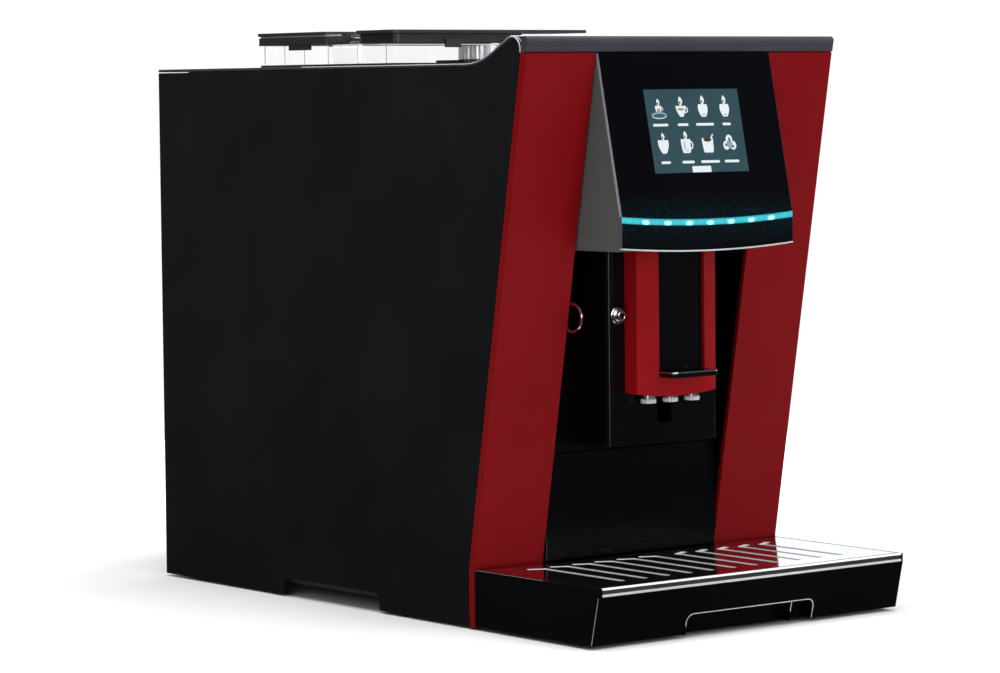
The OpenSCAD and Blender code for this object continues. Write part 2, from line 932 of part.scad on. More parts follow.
module front_lid() {
    color([0.1, 0.1, 0.11])
        union() {
            round_block(
                [-lid_half, front_lid_y[0], lid_top - 2],
                [front_lid_right, front_lid_y[1], lid_top],
                4
            );
            difference() {
                round_block([-lid_half + 3, front_lid_y[0] + 3, 346.8],
                    [front_rim_right, front_lid_y[1], lid_top - 1.9], 4);
                round_block([-lid_half + 7, front_lid_y[0] + 7, 345],
                    [front_rim_right - 4, front_lid_y[1] - 5, 351], 3);
            }
            knuckles(pin_front_y, front_lid_y[1] - 1);
        }
}

module powder_funnel() {
    color([0.08, 0.08, 0.09])
        difference() {
            union() {
                round_block([funnel_c.x - 26, 31, 334], [funnel_c.x + 26, 65, 336], 4);
                post(funnel_c.x, funnel_c.y, 335, 345, 15);
                slab([funnel_c.x - 14, 35, 300], [funnel_c.x + 14, 58, 334.5]);
                translate([funnel_c.x, funnel_c.y, 262])
                    cylinder(h = 38.5, r1 = 10, r2 = 11, $fn = 48);
                post(funnel_c.x, funnel_c.y, 192, 263, 10);
            }
            slab([funnel_c.x - 11, 37.5, 302], [funnel_c.x + 11, 55.5, 337]);
            post(funnel_c.x, funnel_c.y, 334, 346, 13.2);
            translate([funnel_c.x, funnel_c.y, 262])
                cylinder(h = 40.5, r1 = 8, r2 = 9, $fn = 48);
            post(funnel_c.x, funnel_c.y, 190, 263, 8);
        }
}

// ---------- grinder ----------

module grinder_motor() {
    color([0.55, 0.56, 0.58])
        difference() {
            union() {
                post(grinder_x, grinder_y, 104, 158, 27);
                post(grinder_x, grinder_y, 96, 104.5, 10);
                slab([grinder_x - 30, grinder_y - 30, 158], [grinder_x + 30, grinder_y + 30, 161.8]);
            }
            post(grinder_x, grinder_y, 120, 163, 4 + run);
        }
}

module grinder_housing() {
    color([0.13, 0.13, 0.14])
        difference() {
            post(grinder_x, grinder_y, 162, 232, 37);
            post(grinder_x, grinder_y, 190, 233, 31.4);
            post(grinder_x, grinder_y, 176, 191, 26);
            post(grinder_x, grinder_y, 160, 180, 5);
            rod([grinder_x, grinder_y, 184], chute_start + (chute_start - [grinder_x, grinder_y, 184]), 8);
        }
}

brew_c = [30, 20];
chute_dir = [brew_c.x - grinder_x, brew_c.y - grinder_y] / norm([brew_c.x - grinder_x, brew_c.y - grinder_y]);
chute_start = [grinder_x + 38 * chute_dir.x, grinder_y + 38 * chute_dir.y, 183];
chute_end = [brew_c.x - 23 * chute_dir.x, brew_c.y - 23 * chute_dir.y, 176];

module grounds_chute() {
    past = (chute_end - chute_start) * 0.2;
    color([0.1, 0.1, 0.11])
        difference() {
            rod(chute_start, chute_end, 10);
            rod(chute_start - past, chute_end + past, 8);
            post(funnel_c.x, funnel_c.y, 176, 206, 7);
        }
}

module upper_burr() {
    color([0.35, 0.36, 0.38])
        difference() {
            union() {
                post(grinder_x, grinder_y, 206, 226, 31);
                post(grinder_x, grinder_y, 226, 244, 26);
                for (a = [0 : 45 : 315])
                    translate([grinder_x, grinder_y, 232])
                        rotate(a)
                            slab([24, -1.5, 2], [30, 1.5, 12]);
            }
            translate([grinder_x, grinder_y, 205])
                cylinder(h = 22, r1 = 23, r2 = 13, $fn = 48);
            post(grinder_x, grinder_y, 226, 250, throat_r + 1);
        }
}

module lower_burr() {
    color([0.6, 0.6, 0.62])
        union() {
            post(grinder_x, grinder_y, 124, 228, 4);
            post(grinder_x, grinder_y, 180, 186, 22);
            post(grinder_x, grinder_y, 186, 204, 12);
            translate([grinder_x, grinder_y, 203])
                cylinder(h = 22, r1 = 20.5, r2 = 8, $fn = 48);
        }
}

// ---------- brewer ----------

screw_c = [78, 20];
piston_z = 184;

module brew_frame() {
    color([0.25, 0.25, 0.26])
        difference() {
            union() {
                slab([2, -12, 103.2], [92, 39.8, 106.5]);
                slab([2, -12, 246], [92, 33, 249.5]);
                slab([2, -12, 103.2], [5, 2, 249.5]);
                slab([89, -12, 103.2], [92, 39.8, 249.5]);
                tube(brew_c.x, brew_c.y, 106, 122, 26, 18);
            }
            post(brew_c.x, brew_c.y, 100, 123, 6);
            post(screw_c.x, screw_c.y, 104.6, 112, 4 + run);
            post(screw_c.x, screw_c.y, 240, 255, 4 + run);
        }
}

module brew_chamber() {
    color([0.78, 0.76, 0.7])
        difference() {
            post(brew_c.x, brew_c.y, 122.2, 168, chamber_r + 4);
            post(brew_c.x, brew_c.y, 128, 169, chamber_r);
            post(brew_c.x, brew_c.y, 120, 130, 3);
        }
}

module brew_piston() {
    color([0.78, 0.76, 0.7])
        difference() {
            union() {
                post(brew_c.x, brew_c.y, piston_z, piston_z + 30, chamber_r - 0.3);
                slab([brew_c.x - 8, brew_c.y - 8, piston_z + 24], [screw_c.x, brew_c.y + 8, piston_z + 34]);
                post(screw_c.x, screw_c.y, piston_z + 16, piston_z + 40, 9);
            }
            post(screw_c.x, screw_c.y, piston_z, piston_z + 60, 4 + run);
            post(brew_c.x, brew_c.y, piston_z + 3, piston_z + 50, 3);
        }
}

module brew_screw() {
    color("silver")
        post(screw_c.x, screw_c.y, 105, 262, 4);
}

module brew_motor() {
    color([0.45, 0.46, 0.48])
        difference() {
            union() {
                slab([60, 4, 249.8], [96, 36, 276]);
                post(screw_c.x, screw_c.y, 275, 312, 14);
            }
            post(screw_c.x, screw_c.y, 249, 263, 4 + run);
        }
}

// ---------- water ----------

tank = [100, 179.6, 216.4];
tank_z = [64, 326.4];
tank_wall = 2.2;
tank_pin = [214.6, 330];
tank_pin_r = 1.2;

module tank_ear(x0, x1, r) {
    for (sx = [0, 1])
        mirror([sx, 0, 0])
            bar_x(x0, x1, tank_pin[0], tank_pin[1], r);
}

module water_tank() {
    color([0.35, 0.4, 0.45, 0.5])
        difference() {
            union() {
                round_block([-tank[0], tank[1], tank_z[0]], [tank[0], tank[2], tank_z[1]], 5);
                tank_ear(97.4, 100, 2.2);
                for (sx = [0, 1])
                    mirror([sx, 0, 0])
                        slab([97.4, tank_pin[0] - 2.2, 320], [100, tank[2] - 0.2, tank_pin[1]]);
                post(60, 198, tank_z[0] - 8, tank_z[0] + 1, 9);
            }
            round_block([-tank[0] + tank_wall, tank[1] + tank_wall, tank_z[0] + tank_wall],
                [tank[0] - tank_wall, tank[2] - tank_wall, tank_z[1] + 1], 4);
            post(60, 198, tank_z[0] - 9, tank_z[0] + 5, 4);
            tank_ear(96, 101, tank_pin_r + run);
            slab([-97.3, tank[1] - 1, tank_z[1]], [97.3, tank[2] + 1, 335]);
        }
}

module tank_lid() {
    color([0.1, 0.1, 0.11])
        difference() {
            union() {
                slab([-100.8, 178.8, 329], [100.8, 217.4, deck_z]);
                tank_ear(91, 97, 2.2);
            }
            for (sx = [0, 1])
                mirror([sx, 0, 0])
                    slab([97.1, tank_pin[0] - 2.7, 325], [101, 218, deck_z - 0.05]);
            tank_ear(90, 98, tank_pin_r + run);
            translate([0, 180, deck_z + 8])
                sphere(10, $fn = 48);
        }
}

module tank_lid_pins() {
    color("silver")
        tank_ear(91.5, 99.8, tank_pin_r);
}

module tank_seat() {
    color([0.15, 0.15, 0.16])
        difference() {
            union() {
                slab([-109, 176, 50], [109, back_y - rear_t - gap, 53]);
                for (sx = [-1, 1])
                    slab([sx * 107.5 - 1.5, 176, base_z + 2.3], [sx * 107.5 + 1.5, 208, 50.1]);
                post(60, 198, 40, 62, 12);
            }
            post(60, 198, 53, 63, 9.4);
            post(60, 198, 39, 63, 3);
        }
}

pump_c = [-90, 42];

module pump() {
    color([0.6, 0.5, 0.3])
        union() {
            slab([pump_c[0] - 17, 60, pump_c[1] - 18], [pump_c[0] + 17, 106, pump_c[1] + 18]);
            bar_y(pump_c[0], 22, 136, pump_c[1], 11);
            bar_y(pump_c[0], 10, 23, pump_c[1], 5);
            bar_y(pump_c[0], 135, 146, pump_c[1], 4);
            slab([pump_c[0] - 12, 66, 10.3], [pump_c[0] + 12, 100, pump_c[1]]);
        }
}

module thermoblock() {
    color([0.66, 0.67, 0.68])
        difference() {
            union() {
                slab([-108, -60, 118], [-76, 50, 214]);
                for (i = [0 : 6])
                    slab([-75.9 - 0.2, -54 + i * 15, 124], [-72, -50 + i * 15, 208]);
                for (y = [-50, 34])
                    slab([-108, y, base_z + 2.3], [-104, y + 6, 118.1]);
            }
            bar_y(-90, -61, -40, 128, 4);
            bar_y(-92, -61, -40, 204, 4);
        }
}

module water_hoses() {
    color([0.8, 0.8, 0.78])
        union() {
            hose([[60, 198, 39.8], [60, 198, 26], [60, 160, 26], [-90, 160, 26], [-90, 160, 42],
                [-90, 146.2, 42]], 3);
            hose([[-90, 9.8, 42], [-90, -76, 42], [-90, -76, 128], [-90, -60.2, 128]], 2.5);
            hose([[-92, -60.2, 204], [-92, -76, 204], [-10, -76, 204], [-10, 20, 204],
                [-10, 20, 114.5], [3.8, 20, 114.5]], 2.5);
        }
}

module circuit_boards() {
    color([0.1, 0.35, 0.15])
        union() {
            slab([-20, 172, 118], [96, 173.6, 250]);
            for (i = [0 : 3])
                slab([-8 + i * 24, 160, 140], [6 + i * 24, 172.1, 164]);
            slab([0, 164, 200], [50, 172.1, 212]);
            slab([60, 158, 196], [84, 172.1, 226]);
        }
}

module mains_inlet() {
    color([0.05, 0.05, 0.055])
        difference() {
            union() {
                slab([inlet_c[0] - 14, back_y - 24, inlet_c[1] - 10],
                    [inlet_c[0] + 14, back_y, inlet_c[1] + 10]);
                slab([inlet_c[0] - 16.5, back_y, inlet_c[1] - 12.5],
                    [inlet_c[0] + 16.5, back_y + 1.8, inlet_c[1] + 12.5]);
            }
            along_y(back_y - 20, back_y + 3)
                polygon([[inlet_c[0] - 12, inlet_c[1] - 8.2], [inlet_c[0] + 12, inlet_c[1] - 8.2],
                    [inlet_c[0] + 12, inlet_c[1] + 4], [inlet_c[0] + 8, inlet_c[1] + 8.2],
                    [inlet_c[0] - 8, inlet_c[1] + 8.2], [inlet_c[0] - 12, inlet_c[1] + 4]]);
        }
}

module inlet_pins() {
    color("silver")
        for (p = [[-7, -2], [0, 2], [7, -2]])
            slab([inlet_c[0] + p[0] - 1, back_y - 20, inlet_c[1] + p[1] - 2],
                [inlet_c[0] + p[0] + 1, back_y - 5, inlet_c[1] + p[1] + 2]);
}

rocker_axle = [back_y - 3, 1];

module switch_housing() {
    color([0.07, 0.07, 0.075])
        union() {
            difference() {
                union() {
                    slab([rocker_c[0] - 9.3, back_y - 22, rocker_c[1] - 12.3],
                        [rocker_c[0] + 9.3, back_y + 1, rocker_c[1] + 12.3]);
                    slab([rocker_c[0] - 10.8, back_y, rocker_c[1] - 13.8],
                        [rocker_c[0] + 10.8, back_y + 1.4, rocker_c[1] + 13.8]);
                }
                slab([rocker_c[0] - 7.4, back_y - 18, rocker_c[1] - 10.4],
                    [rocker_c[0] + 7.4, back_y + 2, rocker_c[1] + 10.4]);
            }
            bar_x(rocker_c[0] - 8, rocker_c[0] + 8, rocker_axle[0], rocker_c[1], rocker_axle[1]);
        }
}

module power_rocker() {
    color([0.05, 0.05, 0.055])
        difference() {
            along_x(rocker_c[0] - 7, rocker_c[0] + 7)
                polygon([[back_y - 6, rocker_c[1] - 9.4], [back_y + 2.2, rocker_c[1] - 9.4],
                    [back_y + 0.6, rocker_c[1]], [back_y + 2.2, rocker_c[1] + 9.4],
                    [back_y - 6, rocker_c[1] + 9.4], [back_y - 9, rocker_c[1]]]);
            bar_x(rocker_c[0] - 8, rocker_c[0] + 8, rocker_axle[0], rocker_c[1], rocker_axle[1] + run);
        }
}

left_side_panel();
right_side_panel();
service_door();
door_hinge_pins();
rear_panel();
base_pan();
feet();
casing_screws();
chassis_frame();
deck_cover();
top_band();
left_fascia();
right_fascia();
bay_liner();
guide_column();
milk_port();
head_housing();
display_glass();
display_module();
display_board();
led_bar();
lower_band();
head_trim();
spout_shell();
spout_insert();
spout_ledge();
spout_carriage();
spout_manifold();
coffee_nozzles();
drip_tray();
tray_trim();
cup_plate();
grounds_bin();
bean_hopper();
powder_funnel();
lid_hinge_pins();
front_lid();
rear_lid();
grinder_motor();
grinder_housing();
grounds_chute();
upper_burr();
lower_burr();
brew_frame();
brew_chamber();
brew_piston();
brew_screw();
brew_motor();
water_tank();
tank_lid();
tank_lid_pins();
tank_seat();
pump();
thermoblock();
water_hoses();
circuit_boards();
mains_inlet();
inlet_pins();
switch_housing();
power_rocker();
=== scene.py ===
import json
import math
import bmesh
import bpy
from mathutils import Matrix, Vector


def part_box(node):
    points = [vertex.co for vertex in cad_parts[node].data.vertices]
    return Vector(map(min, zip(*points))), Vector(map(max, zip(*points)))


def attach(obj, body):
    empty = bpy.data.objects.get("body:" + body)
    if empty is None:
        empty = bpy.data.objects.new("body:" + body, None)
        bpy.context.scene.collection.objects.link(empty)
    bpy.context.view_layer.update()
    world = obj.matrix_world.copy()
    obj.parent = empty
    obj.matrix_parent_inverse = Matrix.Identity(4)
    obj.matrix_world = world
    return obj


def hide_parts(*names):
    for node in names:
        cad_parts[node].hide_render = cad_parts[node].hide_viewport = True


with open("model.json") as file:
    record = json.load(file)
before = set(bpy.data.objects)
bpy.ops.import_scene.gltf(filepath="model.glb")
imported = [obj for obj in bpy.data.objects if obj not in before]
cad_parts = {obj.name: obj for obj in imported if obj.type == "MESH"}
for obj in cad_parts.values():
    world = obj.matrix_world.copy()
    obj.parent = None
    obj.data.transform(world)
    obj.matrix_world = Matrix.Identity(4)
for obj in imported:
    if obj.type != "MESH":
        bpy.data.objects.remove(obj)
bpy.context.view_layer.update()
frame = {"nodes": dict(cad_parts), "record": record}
nodes = frame["nodes"]
record = frame["record"]
body_of = {n: b for b, members in record["behaviour"]["bodies"].items() for n in members}
slot_of = {s["node"]: s["material_slot"] for s in record["subparts"]}
mm = 0.001

# light bar, as in the CAD: half width, height, dip at its middle, lamp spacing and number of lamps
LED_HALF, LED_H, SMILE, LED_PITCH, LAMPS = 67.0, 3.8, 2.7, 16.4, 7
# height of the head's lower edge at its sides, height of the band under the bar, and the bar's middle height
HEAD_BOTTOM, BAND_RISE = 223.7, 15.3
LED_MID = HEAD_BOTTOM + BAND_RISE + LED_H / 2
# how far the painted glow of the bar reaches over the dark parts beside it, in metres
GLOW_REACH = 0.016


# ---------- materials ----------

def shader(name):
    m = bpy.data.materials.new(name)
    m.use_nodes = True
    t = m.node_tree
    t.nodes.clear()
    out = t.nodes.new("ShaderNodeOutputMaterial")
    bsdf = t.nodes.new("ShaderNodeBsdfPrincipled")
    t.links.new(bsdf.outputs["BSDF"], out.inputs["Surface"])
    where = t.nodes.new("ShaderNodeTexCoord").outputs["Object"]
    return m, t, bsdf, where


def stretched(t, where, scale):
    mapping = t.nodes.new("ShaderNodeMapping")
    mapping.inputs["Scale"].default_value = scale
    t.links.new(where, mapping.inputs["Vector"])
    return mapping.outputs["Vector"]


def noise(t, where, scale, detail=3.0, rough=0.55):
    n = t.nodes.new("ShaderNodeTexNoise")
    n.inputs["Scale"].default_value = scale
    n.inputs["Detail"].default_value = detail
    n.inputs["Roughness"].default_value = rough
    t.links.new(where, n.inputs["Vector"])
    return n.outputs["Fac"]


def spread(t, fac, low, high, a=0.3, b=0.7):
    r = t.nodes.new("ShaderNodeMapRange")
    r.inputs["From Min"].default_value = a
    r.inputs["From Max"].default_value = b
    r.inputs["To Min"].default_value = low
    r.inputs["To Max"].default_value = high
    t.links.new(fac, r.inputs["Value"])
    return r.outputs["Result"]


def blend_colours(t, fac, dark, light, a=0.3, b=0.7):
    r = t.nodes.new("ShaderNodeValToRGB")
    r.color_ramp.elements[0].position = a
    r.color_ramp.elements[0].color = (*dark, 1)
    r.color_ramp.elements[1].position = b
    r.color_ramp.elements[1].color = (*light, 1)
    t.links.new(fac, r.inputs["Fac"])
    return r.outputs["Color"]


def bump(t, bsdf, height, depth, strength=1.0):
    n = t.nodes.new("ShaderNodeBump")
    n.inputs["Strength"].default_value = strength
    n.inputs["Distance"].default_value = depth
    t.links.new(height, n.inputs["Height"])
    t.links.new(n.outputs["Normal"], bsdf.inputs["Normal"])


def math_node(t, operation, *values):
    """Output of a math node fed with numbers and sockets."""
    n = t.nodes.new("ShaderNodeMath")
    n.operation = operation
    for i, v in enumerate(values):
        if isinstance(v, (int, float)):
            n.inputs[i].default_value = v
        else:
            t.links.new(v, n.inputs[i])
    return n.outputs[0]


def tint(colour, k):
    return tuple(min(1.0, c * k) for c in colour)


def moulded(name, colour, rough, grain=0.00002, grain_scale=2600, mottle=0.10, sheen_spread=0.07,
            metallic=0.0, specular=0.5, coat=0.0, broad=9.0):
    m, t, bsdf, where = shader(name)
    cloud = noise(t, where, broad, 4.0)
    fine = noise(t, where, grain_scale, 2.0, 0.6)
    t.links.new(blend_colours(t, cloud, tint(colour, 1 - mottle), tint(colour, 1 + mottle)),
                bsdf.inputs["Base Color"])
    t.links.new(spread(t, noise(t, where, broad * 6, 5.0), rough - sheen_spread, rough + sheen_spread),
                bsdf.inputs["Roughness"])
    bsdf.inputs["Metallic"].default_value = metallic
    bsdf.inputs["Specular IOR Level"].default_value = specular
    bsdf.inputs["Coat Weight"].default_value = coat
    bsdf.inputs["Coat Roughness"].default_value = 0.08
    bump(t, bsdf, fine, grain)
    return m


def brushed(name, colour, rough, along=(1, 1, 1), depth=0.000012, spread_by=0.10):
    m, t, bsdf, where = shader(name)
    lines = noise(t, stretched(t, where, along), 900, 3.0, 0.7)
    smear = noise(t, where, 28, 4.0)
    t.links.new(blend_colours(t, lines, tint(colour, 0.86), tint(colour, 1.06)), bsdf.inputs["Base Color"])
    t.links.new(spread(t, smear, max(0.02, rough - spread_by), rough + spread_by), bsdf.inputs["Roughness"])
    bsdf.inputs["Metallic"].default_value = 1.0
    bump(t, bsdf, lines, depth)
    return m


def clear(name, colour, rough, weight=1.0, ior=1.47):
    m, t, bsdf, where = shader(name)
    haze = noise(t, where, 40, 4.0)
    t.links.new(blend_colours(t, haze, tint(colour, 0.95), colour), bsdf.inputs["Base Color"])
    t.links.new(spread(t, noise(t, where, 120, 3.0), rough * 0.6, rough * 1.5), bsdf.inputs["Roughness"])
    bsdf.inputs["Transmission Weight"].default_value = weight
    bsdf.inputs["IOR"].default_value = ior
    bump(t, bsdf, haze, 0.00003)
    return m


def glowing(name, colour, power, under=(0.01, 0.01, 0.01), rough=0.12, vary=0.08):
    m, t, bsdf, where = shader(name)
    cloud = noise(t, where, 60, 3.0)
    t.links.new(blend_colours(t, cloud, tint(colour, 1 - vary), tint(colour, 1 + vary)),
                bsdf.inputs["Emission Color"])
    bsdf.inputs["Base Color"].default_value = (*under, 1)
    bsdf.inputs["Emission Strength"].default_value = power
    bsdf.inputs["Roughness"].default_value = rough
    return m


def light_bar(name):
    """Cyan light guide, speckled, with a soft pale spot over each of its seven lamps."""
    m, t, bsdf, where = shader(name)
    split = t.nodes.new("ShaderNodeSeparateXYZ")
    t.links.new(where, split.inputs[0])

    def calc(op, *values):
        return math_node(t, op, *values)

    def times_plus(a, b, c):
        return math_node(t, "MULTIPLY_ADD", a, b, c)

    across_bar = calc("DIVIDE", split.outputs["X"], LED_HALF * mm)
    middle_z = times_plus(calc("MULTIPLY", across_bar, across_bar), SMILE * mm, (LED_MID - SMILE) * mm)
    rise = calc("DIVIDE", calc("SUBTRACT", split.outputs["Z"], middle_z), 0.5 * LED_H * mm)
    lowered = calc("ADD", rise, 0.35)
    beam = calc("MAXIMUM", times_plus(calc("MULTIPLY", lowered, lowered), -1.1, 1.0), 0.0)
    wave = calc("COSINE", calc("MULTIPLY", split.outputs["X"], 2 * math.pi / (LED_PITCH * mm)))
    peak = calc("POWER", calc("MAXIMUM", wave, 0.0), 2.2)
    inside = calc("LESS_THAN", calc("ABSOLUTE", split.outputs["X"]), LAMPS / 2 * LED_PITCH * mm)
    lamp = calc("MULTIPLY", calc("MULTIPLY", peak, inside), beam)
    cloudy = times_plus(noise(t, where, 620, 4.0), 0.50, -0.17)
    fac = calc("MINIMUM", calc("ADD", lamp, cloudy), 1.0)
    t.links.new(blend_colours(t, fac, (0.0, 0.34, 0.39), (0.42, 0.96, 1.0), 0.05, 0.95),
                bsdf.inputs["Emission Color"])
    edge = times_plus(calc("MULTIPLY", rise, rise), -0.55, 1.0)
    t.links.new(calc("MULTIPLY", times_plus(lamp, 1.0, 1.25), edge), bsdf.inputs["Emission Strength"])
    bsdf.inputs["Base Color"].default_value = (0.02, 0.12, 0.14, 1)
    bsdf.inputs["Roughness"].default_value = 0.25
    return m


def paint_bar_glow(material):
    """Paints the faint teal glow that the light bar casts onto a dark material, as speckled emission fading
    with height from the bar.
    """
    t = material.node_tree
    bsdf = next(n for n in t.nodes if n.type == "BSDF_PRINCIPLED")
    where = t.nodes.new("ShaderNodeTexCoord").outputs["Object"]
    split = t.nodes.new("ShaderNodeSeparateXYZ")
    t.links.new(where, split.inputs[0])
    above = math_node(t, "SUBTRACT", split.outputs["Z"], (LED_MID - SMILE / 2) * mm)
    fade = spread(t, math_node(t, "ABSOLUTE", above), 1.0, 0.0, 0.0, GLOW_REACH)
    glow_speckle = spread(t, noise(t, where, 700, 4.0), 0.0, 2.0, 0.35, 0.70)
    t.links.new(math_node(t, "MULTIPLY", fade, glow_speckle), bsdf.inputs["Emission Strength"])
    bsdf.inputs["Emission Color"].default_value = (0.0008, 0.0075, 0.0120, 1)
    return material


def board(name):
    m, t, bsdf, where = shader(name)
    cells = t.nodes.new("ShaderNodeTexVoronoi")
    cells.inputs["Scale"].default_value = 260
    cells.feature = "DISTANCE_TO_EDGE"
    t.links.new(where, cells.inputs["Vector"])
    track, resist = (0.02, 0.16, 0.05), (0.006, 0.06, 0.02)
    t.links.new(blend_colours(t, cells.outputs["Distance"], track, resist, 0.02, 0.06),
                bsdf.inputs["Base Color"])
    t.links.new(spread(t, noise(t, where, 90), 0.25, 0.45), bsdf.inputs["Roughness"])
    bump(t, bsdf, cells.outputs["Distance"], 0.00005)
    return m


MATERIALS = {
    "panel_black": moulded("satin black panel", (0.0036, 0.0038, 0.0052), 0.40, grain=0.000016, mottle=0.35,
                           specular=0.30),
    "deck_dark": moulded("dark deck plastic", (0.030, 0.031, 0.034), 0.40, specular=0.4),
    "band_dark": moulded("dark band plastic", (0.034, 0.035, 0.043), 0.38, specular=0.4),
    "fascia_red": moulded("red front panel", (0.150, 0.0030, 0.0047), 0.38, grain=0.000010, mottle=0.04,
                          specular=0.045),
    "spout_red": moulded("red spout", (0.198, 0.0036, 0.0056), 0.34, grain=0.000010, mottle=0.04,
                         specular=0.045),
    "gloss_black": moulded("gloss black plastic", (0.0014, 0.0015, 0.0018), 0.12, grain=0.000002, mottle=0.3,
                           sheen_spread=0.03, specular=0.26),
    "head_grey": moulded("grey head plastic", (0.069, 0.075, 0.073), 0.46, mottle=0.05, specular=0.25),
    "display_glass": moulded("black display glass", (0.0012, 0.0013, 0.0022), 0.06, grain=0.000001,
                             mottle=0.4, sheen_spread=0.02, specular=0.25),
    "screen": glowing("screen backing", (0.02, 0.05, 0.07), 0.5),
    "led_cyan": light_bar("cyan light bar"),
    "chrome": brushed("polished chrome", (0.62, 0.63, 0.65), 0.16, (0.05, 1, 1), 0.000002, 0.06),
    "mirror_steel": brushed("polished steel plate", (0.90, 0.90, 0.92), 0.09, (0.02, 1, 1), 0.000002, 0.04),
    "clear_plastic": clear("clear hopper plastic", (1.0, 1.0, 1.0), 0.015, ior=1.25),
    "smoke_plastic": clear("smoked tank plastic", (0.42, 0.45, 0.48), 0.06, 0.95),
    "brushed_steel": brushed("brushed steel", (0.55, 0.56, 0.58), 0.30, (0.04, 1, 1)),
    "rubber": moulded("rubber", (0.012, 0.012, 0.013), 0.80, grain=0.00006, grain_scale=900, specular=0.25),
    "inner_plastic": moulded("inner black plastic", (0.016, 0.016, 0.018), 0.55, grain=0.00004,
                             grain_scale=1400),
    "brew_plastic": moulded("brewer plastic", (0.50, 0.47, 0.40), 0.45, grain=0.00003),
    "aluminium": brushed("cast aluminium", (0.60, 0.61, 0.62), 0.42, (1, 1, 1), 0.00004),
    "motor_steel": brushed("motor casing steel", (0.46, 0.47, 0.49), 0.34, (1, 1, 0.04)),
    "burr_steel": brushed("ground burr steel", (0.62, 0.62, 0.63), 0.24, (1, 1, 1), 0.00002),
    "brass": brushed("brass", (0.66, 0.46, 0.16), 0.28, (1, 1, 0.05)),
    "silicone": moulded("silicone hose", (0.62, 0.63, 0.62), 0.50, grain=0.00003, grain_scale=900),
    "board_green": board("circuit board"),
}
# painted highlights: a grey line, a white wall and a dim line, which stand for glints along edges
HIGHLIGHT_LINE = moulded("painted highlight line", (0.46, 0.47, 0.48), 0.30, grain=0.000004, mottle=0.12, specular=0.5)
BRIGHT_GLINT = moulded("painted bright glint", (0.84, 0.85, 0.86), 0.35, grain=0.000004, mottle=0.05, specular=0.6)
FAINT_GLINT_LINE = moulded("faint painted glint line", (0.24, 0.25, 0.26), 0.25, grain=0.000004, mottle=0.20, specular=0.5)
BRIGHT_TRIM = moulded("bright trim", (0.44, 0.45, 0.47), 0.18, grain=0.000003, mottle=0.15, specular=0.7,
                      coat=0.3)
# gloss black with the bar's glow painted in as emission, for the band under the bar
BAR_GLOW_BLACK = paint_bar_glow(moulded("gloss black plastic with painted bar glow", (0.0014, 0.0015, 0.0020), 0.12, grain=0.000002,
                                 mottle=0.3, sheen_spread=0.03, specular=0.22))
# the display glass gets the same painted glow of the bar
paint_bar_glow(MATERIALS["display_glass"])
UI_BACK = glowing("screen teal", (0.019, 0.060, 0.076), 1.0, vary=0.12)
UI_WHITE = glowing("screen white", (0.78, 0.86, 0.88), 1.0, vary=0.04)
UI_PALE = glowing("screen pale blue", (0.27, 0.39, 0.50), 0.9)
UI_BLUE = glowing("screen blue", (0.07, 0.15, 0.27), 0.9)
UI_SHADE = glowing("screen shade", (0.045, 0.105, 0.125), 0.9)
UI_TAN = glowing("screen tan", (0.42, 0.32, 0.20), 0.9)
UI_BROWN = glowing("screen brown", (0.055, 0.030, 0.020), 0.9)


# ---------- mesh work ----------

def turning(vertex, edge, others):
    """Angle by which a chain of edges turns at a vertex."""
    a = edge.other_vert(vertex).co - vertex.co
    b = others[0].other_vert(vertex).co - vertex.co
    if a.length < 1e-9 or b.length < 1e-9:
        return 90.0
    return 180.0 - math.degrees(a.angle(b))


def bevel_edges(bm, width, corner):
    """Edges sharp enough to round, left out where the faces beside them are too small for the width."""
    sharp = set()
    for e in bm.edges:
        if len(e.link_faces) == 2 and math.degrees(e.calc_face_angle(0)) > corner:
            sharp.add(e)
    chosen = []
    for e in sharp:
        ends = 0
        for v in e.verts:
            others = [x for x in v.link_edges if x is not e and x in sharp]
            if not (len(others) == 1 and turning(v, e, others) < 25):
                ends += 1
        if e.calc_length() < 1.15 * width * ends:
            continue
        if any(f.calc_area() < 0.9 * width * e.calc_length() for f in e.link_faces):
            continue
        chosen.append(e)
    return chosen


def finish_mesh(bm, name, corner):
    me = bpy.data.meshes.new(name)
    for f in bm.faces:
        f.smooth = True
    for e in bm.edges:
        e.smooth = not (len(e.link_faces) == 2 and math.degrees(e.calc_face_angle(0)) > corner)
    bm.to_mesh(me)
    bm.free()
    ob = bpy.data.objects.new(name, me)
    bpy.context.scene.collection.objects.link(ob)
    return ob


def weighted(ob):
    w = ob.modifiers.new("even shading", "WEIGHTED_NORMAL")
    w.keep_sharp = True
    w.weight = 60


def cleaned(node, merge):
    """A node's mesh with its flat faces joined, or left as triangles."""
    bm = bmesh.new()
    bm.from_mesh(nodes[node].data)
    bmesh.ops.remove_doubles(bm, verts=bm.verts[:], dist=3e-6)
    if merge:
        bmesh.ops.dissolve_limit(bm, angle_limit=math.radians(0.35), use_dissolve_boundaries=False,
                                 verts=bm.verts[:], edges=bm.edges[:])
    bmesh.ops.recalc_face_normals(bm, faces=bm.faces[:])
    return bm


def measure(bm):
    """Box, face area, and how much more area its triangles take, which shows folded faces."""
    me = bpy.data.meshes.new("measure")
    bm.to_mesh(me)
    me.calc_loop_triangles()
    area = sum(p.area for p in me.polygons)
    folded = abs(sum(t.area for t in me.loop_triangles) - area)
    low = [min(v.co[k] for v in me.vertices) for k in range(3)]
    high = [max(v.co[k] for v in me.vertices) for k in range(3)]
    bpy.data.meshes.remove(me)
    return low, high, area, folded


def place(ob, body, material, replaced=()):
    ob.data.materials.clear()
    ob.data.materials.append(material)
    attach(ob, body)
    if replaced:
        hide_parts(*replaced)
    return ob


# limits of a sound rounding: folded share of the area, metres past the box, angle between faces, volume kept
FOLD_SHARE, BOX_SLACK, FLIP_ANGLE, KEPT = 2e-4, 2e-6, math.radians(150), (0.95, 1.001)


